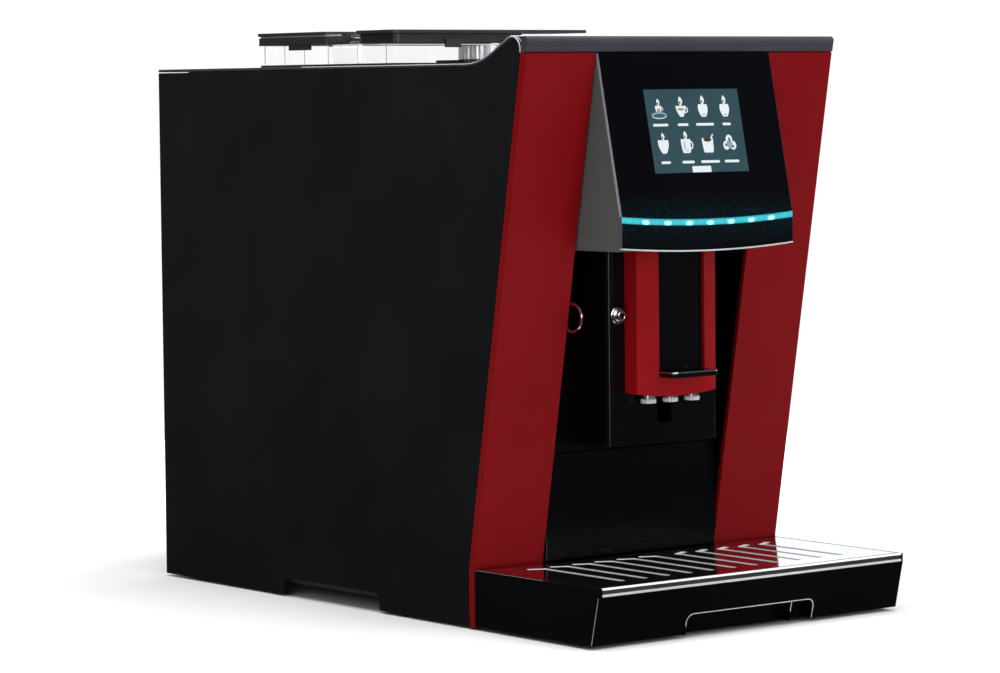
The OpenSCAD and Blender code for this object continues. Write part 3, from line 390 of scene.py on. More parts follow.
def rounded(node, width, corner, merge, clamp):
    """A node's mesh with its corners rounded, or None where the rounding folds faces or leaves the box."""
    bm = cleaned(node, merge)
    low, high, _, _ = measure(bm)
    volume = bm.calc_volume()
    edges = bevel_edges(bm, width * mm, corner)
    if edges:
        bmesh.ops.bevel(bm, geom=edges, offset=width * mm, offset_type="OFFSET", segments=2, profile=0.5,
                        affect="EDGES", clamp_overlap=clamp, loop_slide=True)
    bmesh.ops.triangulate(bm, faces=[f for f in bm.faces if len(f.verts) > 4])
    new_low, new_high, area, folded = measure(bm)
    outside = max(max(low[k] - new_low[k], new_high[k] - high[k]) for k in range(3))
    flipped = sum(1 for e in bm.edges if len(e.link_faces) == 2 and e.calc_face_angle(0) > FLIP_ANGLE)
    kept = bm.calc_volume() / volume
    if folded < FOLD_SHARE * area and outside < BOX_SLACK and flipped == 0 and KEPT[0] < kept < KEPT[1]:
        return bm
    bm.free()
    return None


def refine(node, width=0.3, corner=33.0):
    """A copy of a CAD node with its corners rounded as far as that stays sound, which stands for the node."""
    bm = None
    for clamp in (False, True):
        for share in (1.0, 0.7, 0.5, 0.3):
            for merge in (False, True):
                bm = bm or rounded(node, width * share, corner, merge, clamp)
    if bm is None:
        bm = cleaned(node, False)
        print("not rounded:", node)
    ob = finish_mesh(bm, node + ".v", corner)
    weighted(ob)
    return place(ob, body_of[node], MATERIALS[slot_of[node]], (node,))


# corner rounding of the outer nodes in millimetres, where it isn't the usual one
ROUNDING = {
    "left_side_panel": 0.9, "right_side_panel": 0.9, "service_door": 0.8, "rear_panel": 0.6, "base_pan": 0.6,
    "feet": 0.6, "deck_cover": 0.5, "top_band": 0.6, "left_fascia": 0.7, "right_fascia": 0.7,
    "guide_column": 0.8,
    "head_housing": 0.5, "display_glass": 0.3, "led_bar": 0.25, "lower_band": 0.3, "head_trim": 0.2,
    "spout_shell": 0.5, "spout_insert": 0.2, "spout_ledge": 0.4, "drip_tray": 0.7, "tray_trim": 0.15,
    "cup_plate": 0.25, "grounds_bin": 0.5, "bean_hopper": 0.3, "front_lid": 0.7, "rear_lid": 0.7,
    "bay_liner": 0.3,
    "tank_lid": 0.6, "water_tank": 0.4,
}
visual = {n: refine(n, ROUNDING.get(n, 0.3)) for n in sorted(nodes)}


# ---------- small parts over the CAD shapes ----------

def corner_of(node, i):
    """Lowest (0) or highest (1) corner of a node's box, in millimetres."""
    return Vector(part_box(node)[i]) / mm


def repaint(node, material, test):
    """Gives a second material to the faces of a node's visual that pass the test."""
    me = visual[node].data
    me.materials.append(material)
    for p in me.polygons:
        if test(p):
            p.material_index = len(me.materials) - 1


def bead(name, points, radius, material, body, closed=False, sides=8, caps=True):
    """Round bead along points in millimetres, as a closed mesh tube."""
    pts = [Vector(p) for p in points]
    n = len(pts)
    bm = bmesh.new()
    rings = []
    up_hint = None
    for i, c in enumerate(pts):
        before = pts[i - 1] if (i > 0 or closed) else c
        after = pts[(i + 1) % n] if (i < n - 1 or closed) else c
        ahead = (after - before).normalized()
        if up_hint is None:
            up_hint = Vector((0, 0, 1)) if abs(ahead.z) < 0.9 else Vector((0, 1, 0))
        side = ahead.cross(up_hint).normalized()
        up_hint = side.cross(ahead).normalized()
        rings.append([bm.verts.new((c + radius * (side * math.cos(a) + up_hint * math.sin(a))) * mm)
                      for a in (2 * math.pi * k / sides for k in range(sides))])
    for i in range(n if closed else n - 1):
        a, b = rings[i], rings[(i + 1) % n]
        for k in range(sides):
            bm.faces.new((a[k], b[k], b[(k + 1) % sides], a[(k + 1) % sides]))
    if not closed and caps:
        bm.faces.new(rings[0][::-1])
        bm.faces.new(rings[-1])
    bmesh.ops.recalc_face_normals(bm, faces=bm.faces[:])
    return place(finish_mesh(bm, name, 50), body, material)


def knurled(name, centres, z0, z1, r_out, r_in, teeth, depth, material, body):
    """Upright rings with a toothed outside and chamfered ends."""
    bm = bmesh.new()
    count = teeth * 4
    for cx, cy in centres:
        rows = []
        for z, shrink in ((z0, 0.35), (z0 + 0.35, 0.0), (z1 - 0.35, 0.0), (z1, 0.35)):
            row = []
            for i in range(count):
                a = 2 * math.pi * i / count
                r = r_out - shrink - (depth if i % 4 in (2, 3) else 0.0)
                row.append(bm.verts.new(((cx + r * math.cos(a)) * mm, (cy + r * math.sin(a)) * mm, z * mm)))
            rows.append(row)
        for z in (z1, z0):
            rows.append([bm.verts.new(((cx + r_in * math.cos(2 * math.pi * i / count)) * mm,
                                       (cy + r_in * math.sin(2 * math.pi * i / count)) * mm, z * mm))
                         for i in range(count)])
        for a, b in zip(rows, rows[1:] + rows[:1]):
            for i in range(count):
                bm.faces.new((a[i], a[(i + 1) % count], b[(i + 1) % count], b[i]))
    bmesh.ops.recalc_face_normals(bm, faces=bm.faces[:])
    return place(finish_mesh(bm, name, 28), body, material)


def block(bm, a, b):
    """Closed box between two corners in millimetres."""
    corners = bmesh.ops.create_cube(bm, size=1)["verts"]
    lo, hi = Vector(a), Vector(b)
    for v in corners:
        v.co = Vector(((lo[k] + hi[k]) / 2 + v.co[k] * (hi[k] - lo[k]) for k in range(3))) * mm


def blocks(name, pairs, material, body, round_by=0.2):
    bm = bmesh.new()
    for a, b in pairs:
        block(bm, a, b)
    bmesh.ops.bevel(bm, geom=bm.edges[:], offset=round_by * mm, offset_type="OFFSET", segments=2, profile=0.5,
                    affect="EDGES")
    bmesh.ops.recalc_face_normals(bm, faces=bm.faces[:])
    ob = finish_mesh(bm, name, 50)
    weighted(ob)
    return place(ob, body, material)


# painted highlight on the walls inside the plate's drain slots
plate_lo, plate_hi = corner_of("cup_plate", 0), corner_of("cup_plate", 1)
plate_rim = 4


def in_slot(p):
    """Whether a face is upright and inside the plate's rim."""
    return abs(p.normal.z) < 0.8 and all(plate_lo[k] + plate_rim < p.center[k] / mm < plate_hi[k] - plate_rim
                                         for k in (0, 1))


repaint("cup_plate", BRIGHT_GLINT, in_slot)

# head: painted highlight on the side edges of the glass, painted bar glow on the lower band, grey ends of the
# light bar and lower band, bright lower edge
repaint("display_glass", FAINT_GLINT_LINE, lambda p: abs(p.normal.x) > 0.55)
repaint("led_bar", MATERIALS["head_grey"], lambda p: abs(p.normal.x) > 0.8)
visual["lower_band"].data.materials[0] = BAR_GLOW_BLACK
repaint("lower_band", MATERIALS["head_grey"], lambda p: abs(p.normal.x) > 0.8)
visual["head_trim"].data.materials[0] = BRIGHT_TRIM

# side profile, as in the CAD: lean of the front, slope of the rise, plane and height of the tray's back,
# deck, top of the red panels, then start and radius of the rise, radius of the nose, depth of the flange
LEAN, RAMP = math.radians(10), math.radians(27.5)
TRAY_BACK, TRAY_H, DECK_Z, FASCIA_TOP = 109.0, 35.4, 332.3, 338.0
RISE_Y, RISE_R, NOSE_R, FLANGE_D = -105.0, 50.0, 8.0, 6.3


def cross2(a, b):
    return a[0] * b[1] - a[1] * b[0]


rise_c = Vector((RISE_Y, DECK_Z + RISE_R))
ramp_dir = Vector((-math.cos(RAMP), math.sin(RAMP)))
front_dir = Vector((-math.sin(LEAN), math.cos(LEAN)))
ramp_start = rise_c + RISE_R * Vector((-math.sin(RAMP), -math.cos(RAMP)))
from_ramp = ramp_start - NOSE_R * Vector((math.sin(RAMP), math.cos(RAMP)))
from_front = Vector((-TRAY_BACK + FLANGE_D, TRAY_H)) + NOSE_R * Vector((math.cos(LEAN), math.sin(LEAN)))
nose_c = from_ramp + ramp_dir * (cross2(from_front - from_ramp, front_dir) / cross2(ramp_dir, front_dir))


def sweep(centre, radius, start, turn, steps):
    """Points (y, z) on an arc of the side profile."""
    angles = [start + turn * k / steps for k in range(steps + 1)]
    return [(centre.x + radius * math.cos(a), centre.y + radius * math.sin(a)) for a in angles]


def rise_line(depth, from_y, to_angle):
    """Side profile lowered by a depth, from a place on the deck over the rise to an angle round the nose."""
    crest = math.radians(90) - RAMP
    return [(from_y, DECK_Z - depth)] + sweep(rise_c, RISE_R + depth, math.radians(-90), -RAMP, 12) + sweep(
        nose_c, NOSE_R - depth, crest, math.radians(to_angle) - crest, 14)


def fall_line(depth):
    """From the crest round the nose and down to the top of the red panel."""
    pts = sweep(nose_c, NOSE_R - depth, math.radians(90), math.radians(90) + LEAN, 10)
    return [q for q in pts if q[1] > FASCIA_TOP] + [(pts[-1][0], FASCIA_TOP + 0.4)]


# painted highlight lines along the rise, and two round the nose: name, line, distance from the side, radius
NOSE_HIGHLIGHTS = (("rise", rise_line(0.42, 60, 92), 0.42, 0.40), ("fall", fall_line(0.15), 0.56, 0.50),
              ("inner", fall_line(0.05), 2.5, 0.35))
half_w = corner_of("deck_cover", 1).x
for side, side_name in ((-1, "left"), (1, "right")):
    for line_name, line, inset, radius in NOSE_HIGHLIGHTS:
        points = [(side * (half_w - inset), y, z) for y, z in line]
        bead("nose." + line_name + "_" + side_name, points, radius, HIGHLIGHT_LINE, "chassis")

# dark seam between the top band and the red panels
seam_y = -TRAY_BACK - math.tan(LEAN) * (FASCIA_TOP - TRAY_H)
seam = ((3 - half_w, seam_y + 1.2, FASCIA_TOP - 0.6), (half_w - 0.4, seam_y + 5, FASCIA_TOP + 0.7))
blocks("band.seam", [seam], MATERIALS["gloss_black"], "chassis", 0.1)

# painted highlight outlining the tray's finger notch, and one along its rib, on the leaning front of the tray
lo, hi = corner_of("drip_tray", 0), corner_of("drip_tray", 1)
grip_half, grip_h, grip_r, rib_x = 50.0, 14.0, 5.0, 31.8
lean_z, lean_y, foot_z = 30.0, 6.4, 2.0
tray_front = lo.y


def tray_highlight(name, places, proud, radius, material):
    """Bead of painted highlight over the tray's front, along places (x, z)."""
    pts = [(x, tray_front + lean_y * max(0.0, lean_z - z) / (lean_z - foot_z) + proud, z) for x, z in places]
    bead("tray." + name, pts, radius, material, "tray")


notch = [(-grip_half, foot_z + 0.4), (-grip_half, grip_h - grip_r)]
notch += [(-grip_half + grip_r + grip_r * math.cos(a), grip_h - grip_r + grip_r * math.sin(a))
          for a in (math.radians(180 - 15 * k) for k in range(1, 7))]
notch += [(grip_half - grip_r + grip_r * math.cos(a), grip_h - grip_r + grip_r * math.sin(a))
          for a in (math.radians(90 - 15 * k) for k in range(0, 7))]
notch += [(grip_half, foot_z + 0.4)]
tray_highlight("notch_highlight", notch, 0.15, 0.32, HIGHLIGHT_LINE)
tray_highlight("rib_highlight", [(rib_x, z) for z in (foot_z + 0.4, 8, grip_h - 0.3)], 0.15, 0.3, HIGHLIGHT_LINE)

# painted highlight lines on the tray: left top edge, the front corners, and the lands beside the groove of
# the trim
line_in = 0.36
left_highlight = [(lo.x + line_in, y, hi.z - 0.34) for y in (-TRAY_BACK - 1, -150, lo.y + 1.2)]
bead("tray.left_highlight", left_highlight, 0.33, HIGHLIGHT_LINE, "tray")
for x, side_name in ((lo.x + line_in, "left"), (hi.x - line_in, "right")):
    heights = (hi.z - 0.5, lean_z, 16, foot_z + 0.6)
    tray_highlight("corner_" + side_name, [(x, z) for z in heights], line_in, 0.36, FAINT_GLINT_LINE)
trim_z = corner_of("tray_trim", 0).z
groove_z = (trim_z + 1.4, trim_z + 3.8)
repaint("tray_trim", BRIGHT_GLINT, lambda p: p.center.z / mm > groove_z[1])
repaint("tray_trim", HIGHLIGHT_LINE, lambda p: p.center.z / mm < groove_z[0])

# chrome rim on the thumb ledge
lo, hi = corner_of("spout_ledge", 0), corner_of("spout_ledge", 1)
ledge_r, rim_in = 3.5, 0.3
rim_end = corner_of("spout_shell", 0).y - 0.6
rim = [(lo.x + rim_in, rim_end)]
for x, first in ((lo.x + ledge_r, 180), (hi.x - ledge_r, 270)):
    rim += [(x + (ledge_r - rim_in) * math.cos(a), lo.y + ledge_r + (ledge_r - rim_in) * math.sin(a))
            for a in (math.radians(first + 15 * k) for k in range(7))]
rim += [(hi.x - rim_in, rim_end)]
bead("ledge.rim", [(x, y, hi.z - 0.25) for x, y in rim], 0.55, MATERIALS["chrome"], "spout")

# faceted collars on the nozzles, and the knurled neck of the powder funnel
lo, hi = corner_of("coffee_nozzles", 0), corner_of("coffee_nozzles", 1)
nozzle_y = (lo.y + hi.y) / 2
nozzle_x = hi.x - (hi.y - lo.y) / 2
nozzle_spots = [(x, nozzle_y) for x in (-nozzle_x, 0, nozzle_x)]
knurled("nozzle.collars", nozzle_spots, lo.z + 0.05, lo.z + 2.6, 4.75, 4.02, 12, 0.35, BRIGHT_TRIM, "spout")
lo, hi = corner_of("powder_funnel", 0), corner_of("powder_funnel", 1)
funnel_y, ring_foot = 46.5, DECK_Z + 3.9
knurled("funnel.ring", [((lo.x + hi.x) / 2, funnel_y)], ring_foot, hi.z + 0.4, 16.0, 15.05, 32, 0.5,
        MATERIALS["brushed_steel"], "chassis")

# hopper: seal round its foot on the deck, and thin upright ribs on its left wall
lo, hi = corner_of("bean_hopper", 0), corner_of("bean_hopper", 1)
hop_y0, hop_y1 = 28.0, hi.y
seal_w, near = 0.7, 0.05
seal_z = (DECK_Z + 0.05, DECK_Z + 1.9)
seal = [((x0, y0, seal_z[0]), (x1, y1, seal_z[1])) for x0, y0, x1, y1 in (
    (lo.x - seal_w, hop_y0 - seal_w, hi.x + seal_w, hop_y0 - near),
    (lo.x - seal_w, hop_y1 + near, hi.x + seal_w, hop_y1 + seal_w),
    (lo.x - seal_w - near, hop_y0 - near, lo.x - near, hop_y1 + near),
    (hi.x + near, hop_y0 - near, hi.x + seal_w + near, hop_y1 + near))]
blocks("hopper.seal", seal, MATERIALS["rubber"], "chassis")
rib_y, rib_top = (36, 66, 98, 124, 146, 168), 346.2
ribs = [((lo.x - 0.45, y - 0.25, seal_z[1] + near), (lo.x - near, y + 0.25, rib_top)) for y in rib_y]

# painted highlight line between the layers of the rear lid, and a grip tab under each lid
lo, hi = corner_of("rear_lid", 0), corner_of("rear_lid", 1)
line_z = (hi.z - 3.05, hi.z - 2.05)
lid_in, line_w = 1.2, 1.7
lines = [((x0, y0, line_z[0]), (x1, y1, line_z[1])) for x0, y0, x1, y1 in (
    (lo.x + lid_in, lo.y + 1, lo.x + lid_in + line_w, hi.y - 4),
    (hi.x - lid_in - line_w, lo.y + 1, hi.x - lid_in, hi.y - 4),
    (lo.x + 4, hi.y - lid_in - line_w, hi.x - 4, hi.y - lid_in))]
blocks("rear_lid.highlight", lines, HIGHLIGHT_LINE, "rear_lid", 0.12)
TABS = {"rear_lid": ((-74.2, 116, 343.4), (-72.3, 139, 347.4)),
        "front_lid": ((-33, 26, 343.8), (-21, 27.8, 349))}
for lid, tab in TABS.items():
    blocks(lid + ".tab", [tab], MATERIALS["deck_dark"], lid)
blocks("hopper.ribs", ribs, MATERIALS["smoke_plastic"], "chassis", 0.08)


# ---------- display: picture on the bowed glass ----------

def front_frame(node):
    """Centre, across, down and outward directions of a node's flat forward face."""
    me = nodes[node].data
    best = max(me.polygons, key=lambda p: p.area if p.normal.y < -0.7 else 0)
    out = best.normal.normalized()
    points = [me.vertices[i].co for p in me.polygons if p.normal.dot(out) > 0.999 for i in p.vertices]
    across = Vector((1, 0, 0))
    down = across.cross(out)
    if down.z > 0:
        down = -down
    top = min(points, key=lambda c: c.dot(down))
    return top, across, down, out


module_top, across, down, out = front_frame("display_module")
glass_points = [v.co for v in nodes["display_glass"].data.vertices]
glass_edge = max(c.dot(out) for c in glass_points if abs(c.x) > 66.5 * mm)
glass_mid = max(c.dot(out) for c in glass_points if abs(c.x) < 12 * mm)
glass_half = max(c.x for c in glass_points)
down_top = module_top.dot(down)

# lit picture in millimetres: width, height, distance below the module's top edge, shift to the left
lit_w, lit_h = 73.4, 50.0
lit_top = 4.7
lit_shift = -0.9


def on_glass(u, v, lift):
    """Point over the glass: u across from the middle, v down from the module's top edge, in millimetres."""
    rise = glass_edge + (glass_mid - glass_edge) * (1 - (u * mm / glass_half) ** 2)
    return across * (u + lit_shift) * mm + down * (down_top + v * mm) + out * (rise + lift * mm)


def inlay(name, shapes, low, high, material, fine=False):
    """Thin closed plates over the glass, one for each outline of (u, v) points."""
    bm = bmesh.new()
    for outline in shapes:
        lower = [bm.verts.new(on_glass(u, v, low)) for u, v in outline]
        upper = [bm.verts.new(on_glass(u, v, high)) for u, v in outline]
        bm.faces.new(lower[::-1])
        bm.faces.new(upper)
        n = len(outline)
        for i in range(n):
            bm.faces.new((lower[i], lower[(i + 1) % n], upper[(i + 1) % n], upper[i]))
    bmesh.ops.recalc_face_normals(bm, faces=bm.faces[:])
    ob = finish_mesh(bm, name, 30)
    return place(ob, "chassis", material)


def oval(cx, cy, rx, ry, n=28, a0=0.0, a1=360.0):
    full = abs(a1 - a0) >= 359.9
    count = n if full else n + 1
    return [(cx + rx * math.cos(math.radians(a0 + (a1 - a0) * i / n)),
             cy + ry * math.sin(math.radians(a0 + (a1 - a0) * i / n))) for i in range(count)]


def bar(cx, cy, w, h, r=0.45, n=5):
    r = min(r, w / 2, h / 2)
    pts = []
    for sx, sy, a in ((1, 1, 0), (-1, 1, 90), (-1, -1, 180), (1, -1, 270)):
        for i in range(n + 1):
            b = math.radians(a + 90 * i / n)
            pts.append((cx + sx * (w / 2 - r) + r * math.cos(b), cy + sy * (h / 2 - r) + r * math.sin(b)))
    return pts


def vessel(cx, top, half_widths, height):
    """Outline of a cup seen from the side, from half widths at even steps down its height."""
    n = len(half_widths) - 1
    right = [(cx + w, top + height * i / n) for i, w in enumerate(half_widths)]
    left = [(cx - w, top + height * i / n) for i, w in enumerate(half_widths)]
    return right + left[::-1]


def arch(cx, cy, rx, ry, thick, a0, a1, n=14):
    outer = oval(cx, cy, rx, ry, n, a0, a1)
    inner = oval(cx, cy, rx - thick, ry - thick, n, a0, a1)
    return outer + inner[::-1]


def steam(cx, base, size):
    """A curl of steam as a pointed drop."""
    steps = 14
    tall, sway = 1.9, 0.10
    right_side = [(0.52, i / steps) for i in range(steps + 1)]
    left_side = [(-0.46, i / steps) for i in range(steps - 1, 0, -1)]
    pts = []
    for half, f in right_side + left_side:
        bulge = half * math.sin(math.pi * f) ** 0.8
        pts.append((cx + size * (bulge + sway * math.sin(3 * f)), base - size * tall * f))
    return pts


# picture sheet, in steps across and down so that it follows the bow
grid_n = 24
rows = 8
bm = bmesh.new()
sheet_pts = {}
for k, lift in enumerate((0.0, 0.05)):
    for i in range(grid_n + 1):
        for j in range(rows + 1):
            spot = on_glass(lit_w * (i / grid_n - 0.5), lit_top + lit_h * j / rows, lift)
            sheet_pts[k, i, j] = bm.verts.new(spot)


def sheet_face(*keys):
    bm.faces.new([sheet_pts[key] for key in keys])


for k in (0, 1):
    for i in range(grid_n):
        for j in range(rows):
            around = [(k, i, j), (k, i + 1, j), (k, i + 1, j + 1), (k, i, j + 1)]
            sheet_face(*(around if k else around[::-1]))
for i in range(grid_n):
    sheet_face((0, i, 0), (0, i + 1, 0), (1, i + 1, 0), (1, i, 0))
    sheet_face((0, i, rows), (1, i, rows), (1, i + 1, rows), (0, i + 1, rows))
for j in range(rows):
    sheet_face((0, 0, j), (1, 0, j), (1, 0, j + 1), (0, 0, j + 1))
    sheet_face((0, grid_n, j), (0, grid_n, j + 1), (1, grid_n, j + 1), (1, grid_n, j))
bmesh.ops.recalc_face_normals(bm, faces=bm.faces[:])
place(finish_mesh(bm, "screen.picture", 30), "chassis", UI_BACK)

COLUMNS = [-27.4, -10.2, 7.0, 24.2]
ROW_1, ROW_2 = lit_top + 9.8, lit_top + 30.3
white, pale, blue, tan, brown, dark, shade = [], [], [], [], [], [], []

# row 1: espresso cup on its saucer, coffee cup, two tall glasses
c = COLUMNS[0]
white += [vessel(c, ROW_1, [2.4, 2.3, 2.1, 1.6, 1.1], 5.2),
          arch(c + 2.3, ROW_1 + 2.0, 1.3, 1.2, 0.5, -90, 90)]
tan += [oval(c, ROW_1 + 2.9, 1.3, 1.3)]
pale += [oval(c, ROW_1 + 5.6, 5.8, 1.9)]
shade += [oval(c, ROW_1 + 5.9, 4.6, 1.1)]
white += [arch(c, ROW_1 + 5.7, 6.0, 2.1, 0.35, 20, 160)]
c = COLUMNS[1]
white += [vessel(c, ROW_1 + 0.2, [3.9, 3.7, 3.2, 2.4, 1.2], 6.6),
          arch(c + 3.4, ROW_1 + 2.6, 2.0, 2.0, 0.7, -80, 95)]
tan += [oval(c, ROW_1 + 2.3, 2.7, 0.75)]
for k in (2, 3):
    c = COLUMNS[k]
    white += [vessel(c, ROW_1 - 0.6, [3.2, 3.7, 3.75, 3.4, 2.7, 1.6], 7.6)]
    dark += [arch(c, ROW_1 + 5.2, 1.3, 0.9, 0.35, 10, 170)]

# row 2: milk glass, water mug, ground coffee canister, settings
c = COLUMNS[0]
white += [vessel(c, ROW_2, [3.9, 4.0, 3.9, 3.3, 2.6, 1.5], 8.0)]
c = COLUMNS[1]
white += [vessel(c, ROW_2 - 0.4, [3.5, 3.7, 3.6, 3.5, 3.3, 2.6], 8.4),
          arch(c + 3.4, ROW_2 + 3.2, 2.2, 2.6, 0.8, -85, 90)]
dark += [arch(c + 0.6, ROW_2 + 6.0, 1.2, 0.8, 0.3, 10, 170)]
pale += [bar(c - 1.2, ROW_2 + 3.4, 0.7, 4.6)]
c = COLUMNS[2]
white += [vessel(c, ROW_2 - 0.6, [4.4, 4.35, 4.2, 4.1, 4.0, 3.3], 8.6)]
brown += [oval(c, ROW_2 + 0.3, 3.2, 1.2), [(c - 2.2, ROW_2 + 0.2), (c, ROW_2 - 1.6), (c + 2.2, ROW_2 + 0.2)]]
white += [[(c + 2.4, ROW_2 - 0.6), (c + 4.4, ROW_2 - 3.2), (c + 5.1, ROW_2 - 2.8), (c + 3.2, ROW_2 - 0.2)]]
c = COLUMNS[3]
white += [oval(c, ROW_2 + 0.2, 2.6, 2.7), oval(c - 2.7, ROW_2 + 3.9, 2.5, 2.7),
          oval(c + 2.7, ROW_2 + 3.9, 2.5, 2.7)]
pale += [oval(c, ROW_2 + 3.2, 2.3, 2.6)]
blue += [oval(c - 2.9, ROW_2 + 3.6, 0.9, 0.9), oval(c + 2.4, ROW_2 + 4.6, 0.9, 0.9),
         oval(c + 0.2, ROW_2 + 0.3, 0.9, 1.1)]

for k, size in ((0, 2.4), (1, 3.0), (2, 3.0), (3, 3.0)):
    base = ROW_1 + (0.3 if k < 2 else -0.2)
    white.append(steam(COLUMNS[k], base, size))
    dark.append(oval(COLUMNS[k] - 0.15, base - size * 0.72, 0.6, 0.75, 12))
for k, size in ((0, 2.4), (1, 2.8)):
    white.append(steam(COLUMNS[k], ROW_2 + 0.2, size))
    dark.append(oval(COLUMNS[k] - 0.15, ROW_2 - size * 0.66, 0.55, 0.7, 12))
for k in range(4):
    shade.append(bar(COLUMNS[k], ROW_1 + 8.4, 7.4, 0.4, 0.2))
    shade.append(bar(COLUMNS[k], ROW_2 + 9.4, 7.4, 0.4, 0.2))

# a bar stands for each caption: row height and the four widths
CAPTIONS = ((21.3, (11.6, 8.2, 14.0, 6.6)), (43.7, (7.0, 9.4, 14.8, 11.6)))
captions = [bar(c, lit_top + v, w, 1.55, 0.7) for v, widths in CAPTIONS for c, w in zip(COLUMNS, widths)]
tab = [bar(-0.6, lit_top + 48.1, 14.6, 3.7, 0.3)]

inlay("screen.icons", white, 0.05, 0.08, UI_WHITE)
inlay("screen.captions", captions, 0.05, 0.08, UI_WHITE)
inlay("screen.tab", tab, 0.05, 0.08, UI_WHITE)
inlay("screen.pale", pale, 0.07, 0.10, UI_PALE)
inlay("screen.blue", blue, 0.07, 0.12, UI_BLUE)
inlay("screen.shade", shade, 0.07, 0.11, UI_SHADE)
inlay("screen.tan", tan, 0.07, 0.11, UI_TAN)
inlay("screen.brown", brown, 0.07, 0.11, UI_BROWN)
inlay("screen.dark", dark, 0.07, 0.11, UI_BACK)


# ---------- stage ----------

def disc(name, radius, z, n=96):
    bm = bmesh.new()
    rings = [[bm.verts.new((r * math.cos(2 * math.pi * i / n), r * math.sin(2 * math.pi * i / n), z))
              for i in range(n)] for r in (radius * 0.33, radius * 0.66, radius)]
    bm.faces.new(rings[0])
    for a, b in zip(rings, rings[1:]):
        for i in range(n):
            bm.faces.new((a[i], b[i], b[(i + 1) % n], a[(i + 1) % n]))
    return finish_mesh(bm, name, 30)


def floor_material():
    """White floor that shows dark in glossy reflections and brightens towards its rim."""
    m, t, bsdf, where = shader("pale floor")
    t.links.new(blend_colours(t, noise(t, where, 3, 3.0), (0.76, 0.76, 0.76), (0.79, 0.79, 0.79)),
                bsdf.inputs["Base Color"])
    bsdf.inputs["Roughness"].default_value = 0.9
    bsdf.inputs["Specular IOR Level"].default_value = 0.05
    far = t.nodes.new("ShaderNodeVectorMath")
    far.operation = "LENGTH"
    t.links.new(where, far.inputs[0])
    bsdf.inputs["Emission Color"].default_value = (1, 1, 1, 1)
    t.links.new(spread(t, far.outputs["Value"], 0.0, 0.9, 0.30, 0.62), bsdf.inputs["Emission Strength"])
    dark = t.nodes.new("ShaderNodeEmission")
    dark.inputs["Color"].default_value = (0.9, 0.95, 1, 1)
    dark.inputs["Strength"].default_value = 0.05
    path = t.nodes.new("ShaderNodeLightPath")
    pick = t.nodes.new("ShaderNodeMixShader")
    t.links.new(path.outputs["Is Glossy Ray"], pick.inputs[0])
    t.links.new(bsdf.outputs["BSDF"], pick.inputs[1])
    t.links.new(dark.outputs[0], pick.inputs[2])
    out = next(n for n in t.nodes if n.type == "OUTPUT_MATERIAL")
    t.links.new(pick.outputs[0], out.inputs["Surface"])
    return m


floor = disc("floor", 1.1, -0.0002)
floor.data.materials.append(floor_material())

world = bpy.data.worlds.new("studio")
bpy.context.scene.world = world
world.use_nodes = True
wt = world.node_tree
wt.nodes.clear()


def world_node(kind, **values):
    n = wt.nodes.new(kind)
    for k, v in values.items():
        if k == "operation":
            n.operation = v
        else:
            n.inputs[int(k[1:])].default_value = v
    return n


w_out = world_node("ShaderNodeOutputWorld")
w_mix = world_node("ShaderNodeMixShader")
w_seen = world_node("ShaderNodeBackground", i0=(1, 1, 1, 1), i1=1.05)
w_dim = world_node("ShaderNodeBackground", i0=(0.92, 0.95, 1, 1))
w_path = world_node("ShaderNodeLightPath")
w_any = world_node("ShaderNodeMath", operation="MAXIMUM")
w_where = world_node("ShaderNodeTexCoord")
w_split = world_node("ShaderNodeSeparateXYZ")
w_sum = world_node("ShaderNodeMath", operation="ADD")
w_card = world_node("ShaderNodeMapRange", i1=1.22, i2=1.34, i3=0.09, i4=1.15)
wt.links.new(w_where.outputs["Generated"], w_split.inputs[0])
wt.links.new(w_split.outputs["X"], w_sum.inputs[0])
wt.links.new(w_split.outputs["Y"], w_sum.inputs[1])
wt.links.new(w_sum.outputs[0], w_card.inputs["Value"])
wt.links.new(w_card.outputs[0], w_dim.inputs["Strength"])
wt.links.new(w_path.outputs["Is Camera Ray"], w_any.inputs[0])
wt.links.new(w_path.outputs["Is Transmission Ray"], w_any.inputs[1])
wt.links.new(w_any.outputs[0], w_mix.inputs[0])
wt.links.new(w_dim.outputs[0], w_mix.inputs[1])
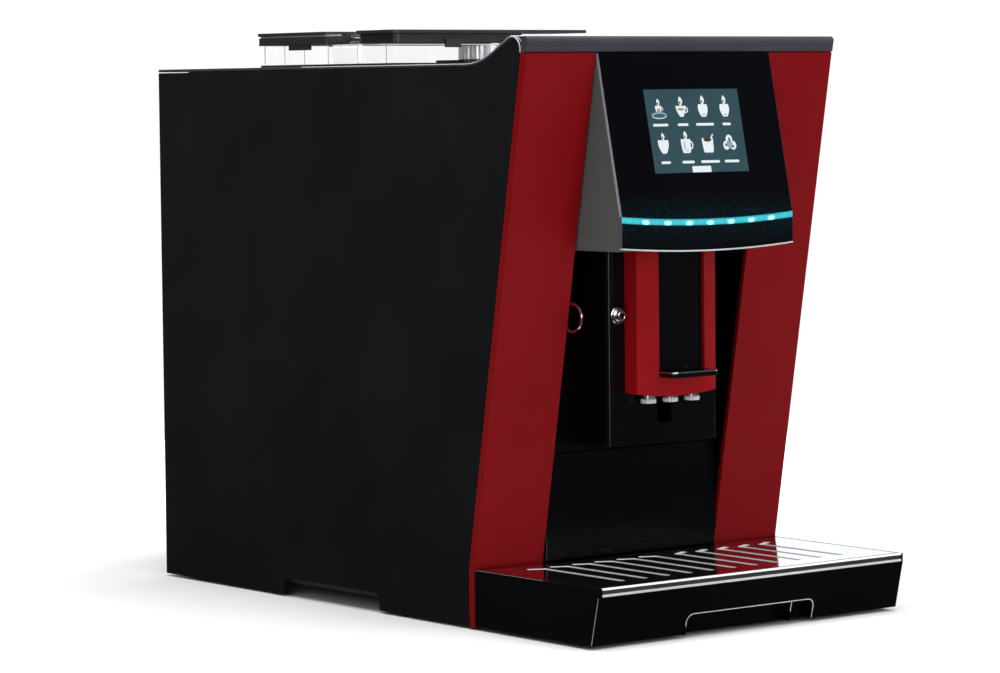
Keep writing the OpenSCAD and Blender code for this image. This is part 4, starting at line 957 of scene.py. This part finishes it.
wt.links.new(w_seen.outputs[0], w_mix.inputs[2])
wt.links.new(w_mix.outputs[0], w_out.inputs["Surface"])


def area(name, at, towards, size, power, colour=(1, 1, 1)):
    light = bpy.data.lights.new(name, "AREA")
    light.shape = "RECTANGLE"
    light.size, light.size_y = size
    light.energy = power
    light.color = colour
    ob = bpy.data.objects.new(name, light)
    bpy.context.scene.collection.objects.link(ob)
    ob.location = at
    ob.rotation_euler = (Vector(towards) - Vector(at)).to_track_quat("-Z", "Y").to_euler()
    ob.visible_camera = False
    return ob


area("top", (-0.1, -0.3, 2.2), (0, 0, 0), (2.6, 2.6), 92)
area("left", (-2.2, -0.7, 1.3), (0, 0, 0.2), (1.2, 1.6), 9)
area("front", (0.3, -2.5, 0.7), (0, -0.1, 0.1), (1.3, 0.8), 22)
area("edge", (-2.25, -2.0, 0.55), (0, 0, 0.18), (0.35, 1.5), 9)
area("right", (2.3, -0.8, 0.9), (0, -0.1, 0.2), (0.4, 1.6), 10)
area("back", (-0.4, 2.2, 1.6), (0, 0, 0.3), (1.6, 0.5), 10)

scene = bpy.context.scene
scene.view_settings.view_transform = "Standard"
scene.view_settings.look = "None"
scene.view_settings.exposure = 0
scene.view_settings.gamma = 1

azimuth, elevation, roll = (math.radians(x) for x in (-38.28, 3.84, -0.59))
level = math.cos(elevation)
back = Vector((math.sin(azimuth) * level, -math.cos(azimuth) * level, math.sin(elevation)))
right = Vector((math.cos(azimuth), math.sin(azimuth), 0))
up = back.cross(right)
turned_right = right * math.cos(roll) + up * math.sin(roll)
turned_up = up * math.cos(roll) - right * math.sin(roll)
camera_data = bpy.data.cameras.new("camera")
camera_data.sensor_width = 36
camera_data.lens = 131.55
camera_data.clip_end = 50
camera = bpy.data.objects.new("camera", camera_data)
scene.collection.objects.link(camera)
camera_at = (-1.4285, -1.7934, 0.3160)
facing = Matrix((turned_right, turned_up, back)).transposed().to_4x4()
camera.matrix_world = Matrix.Translation(camera_at) @ facing
scene.camera = camera
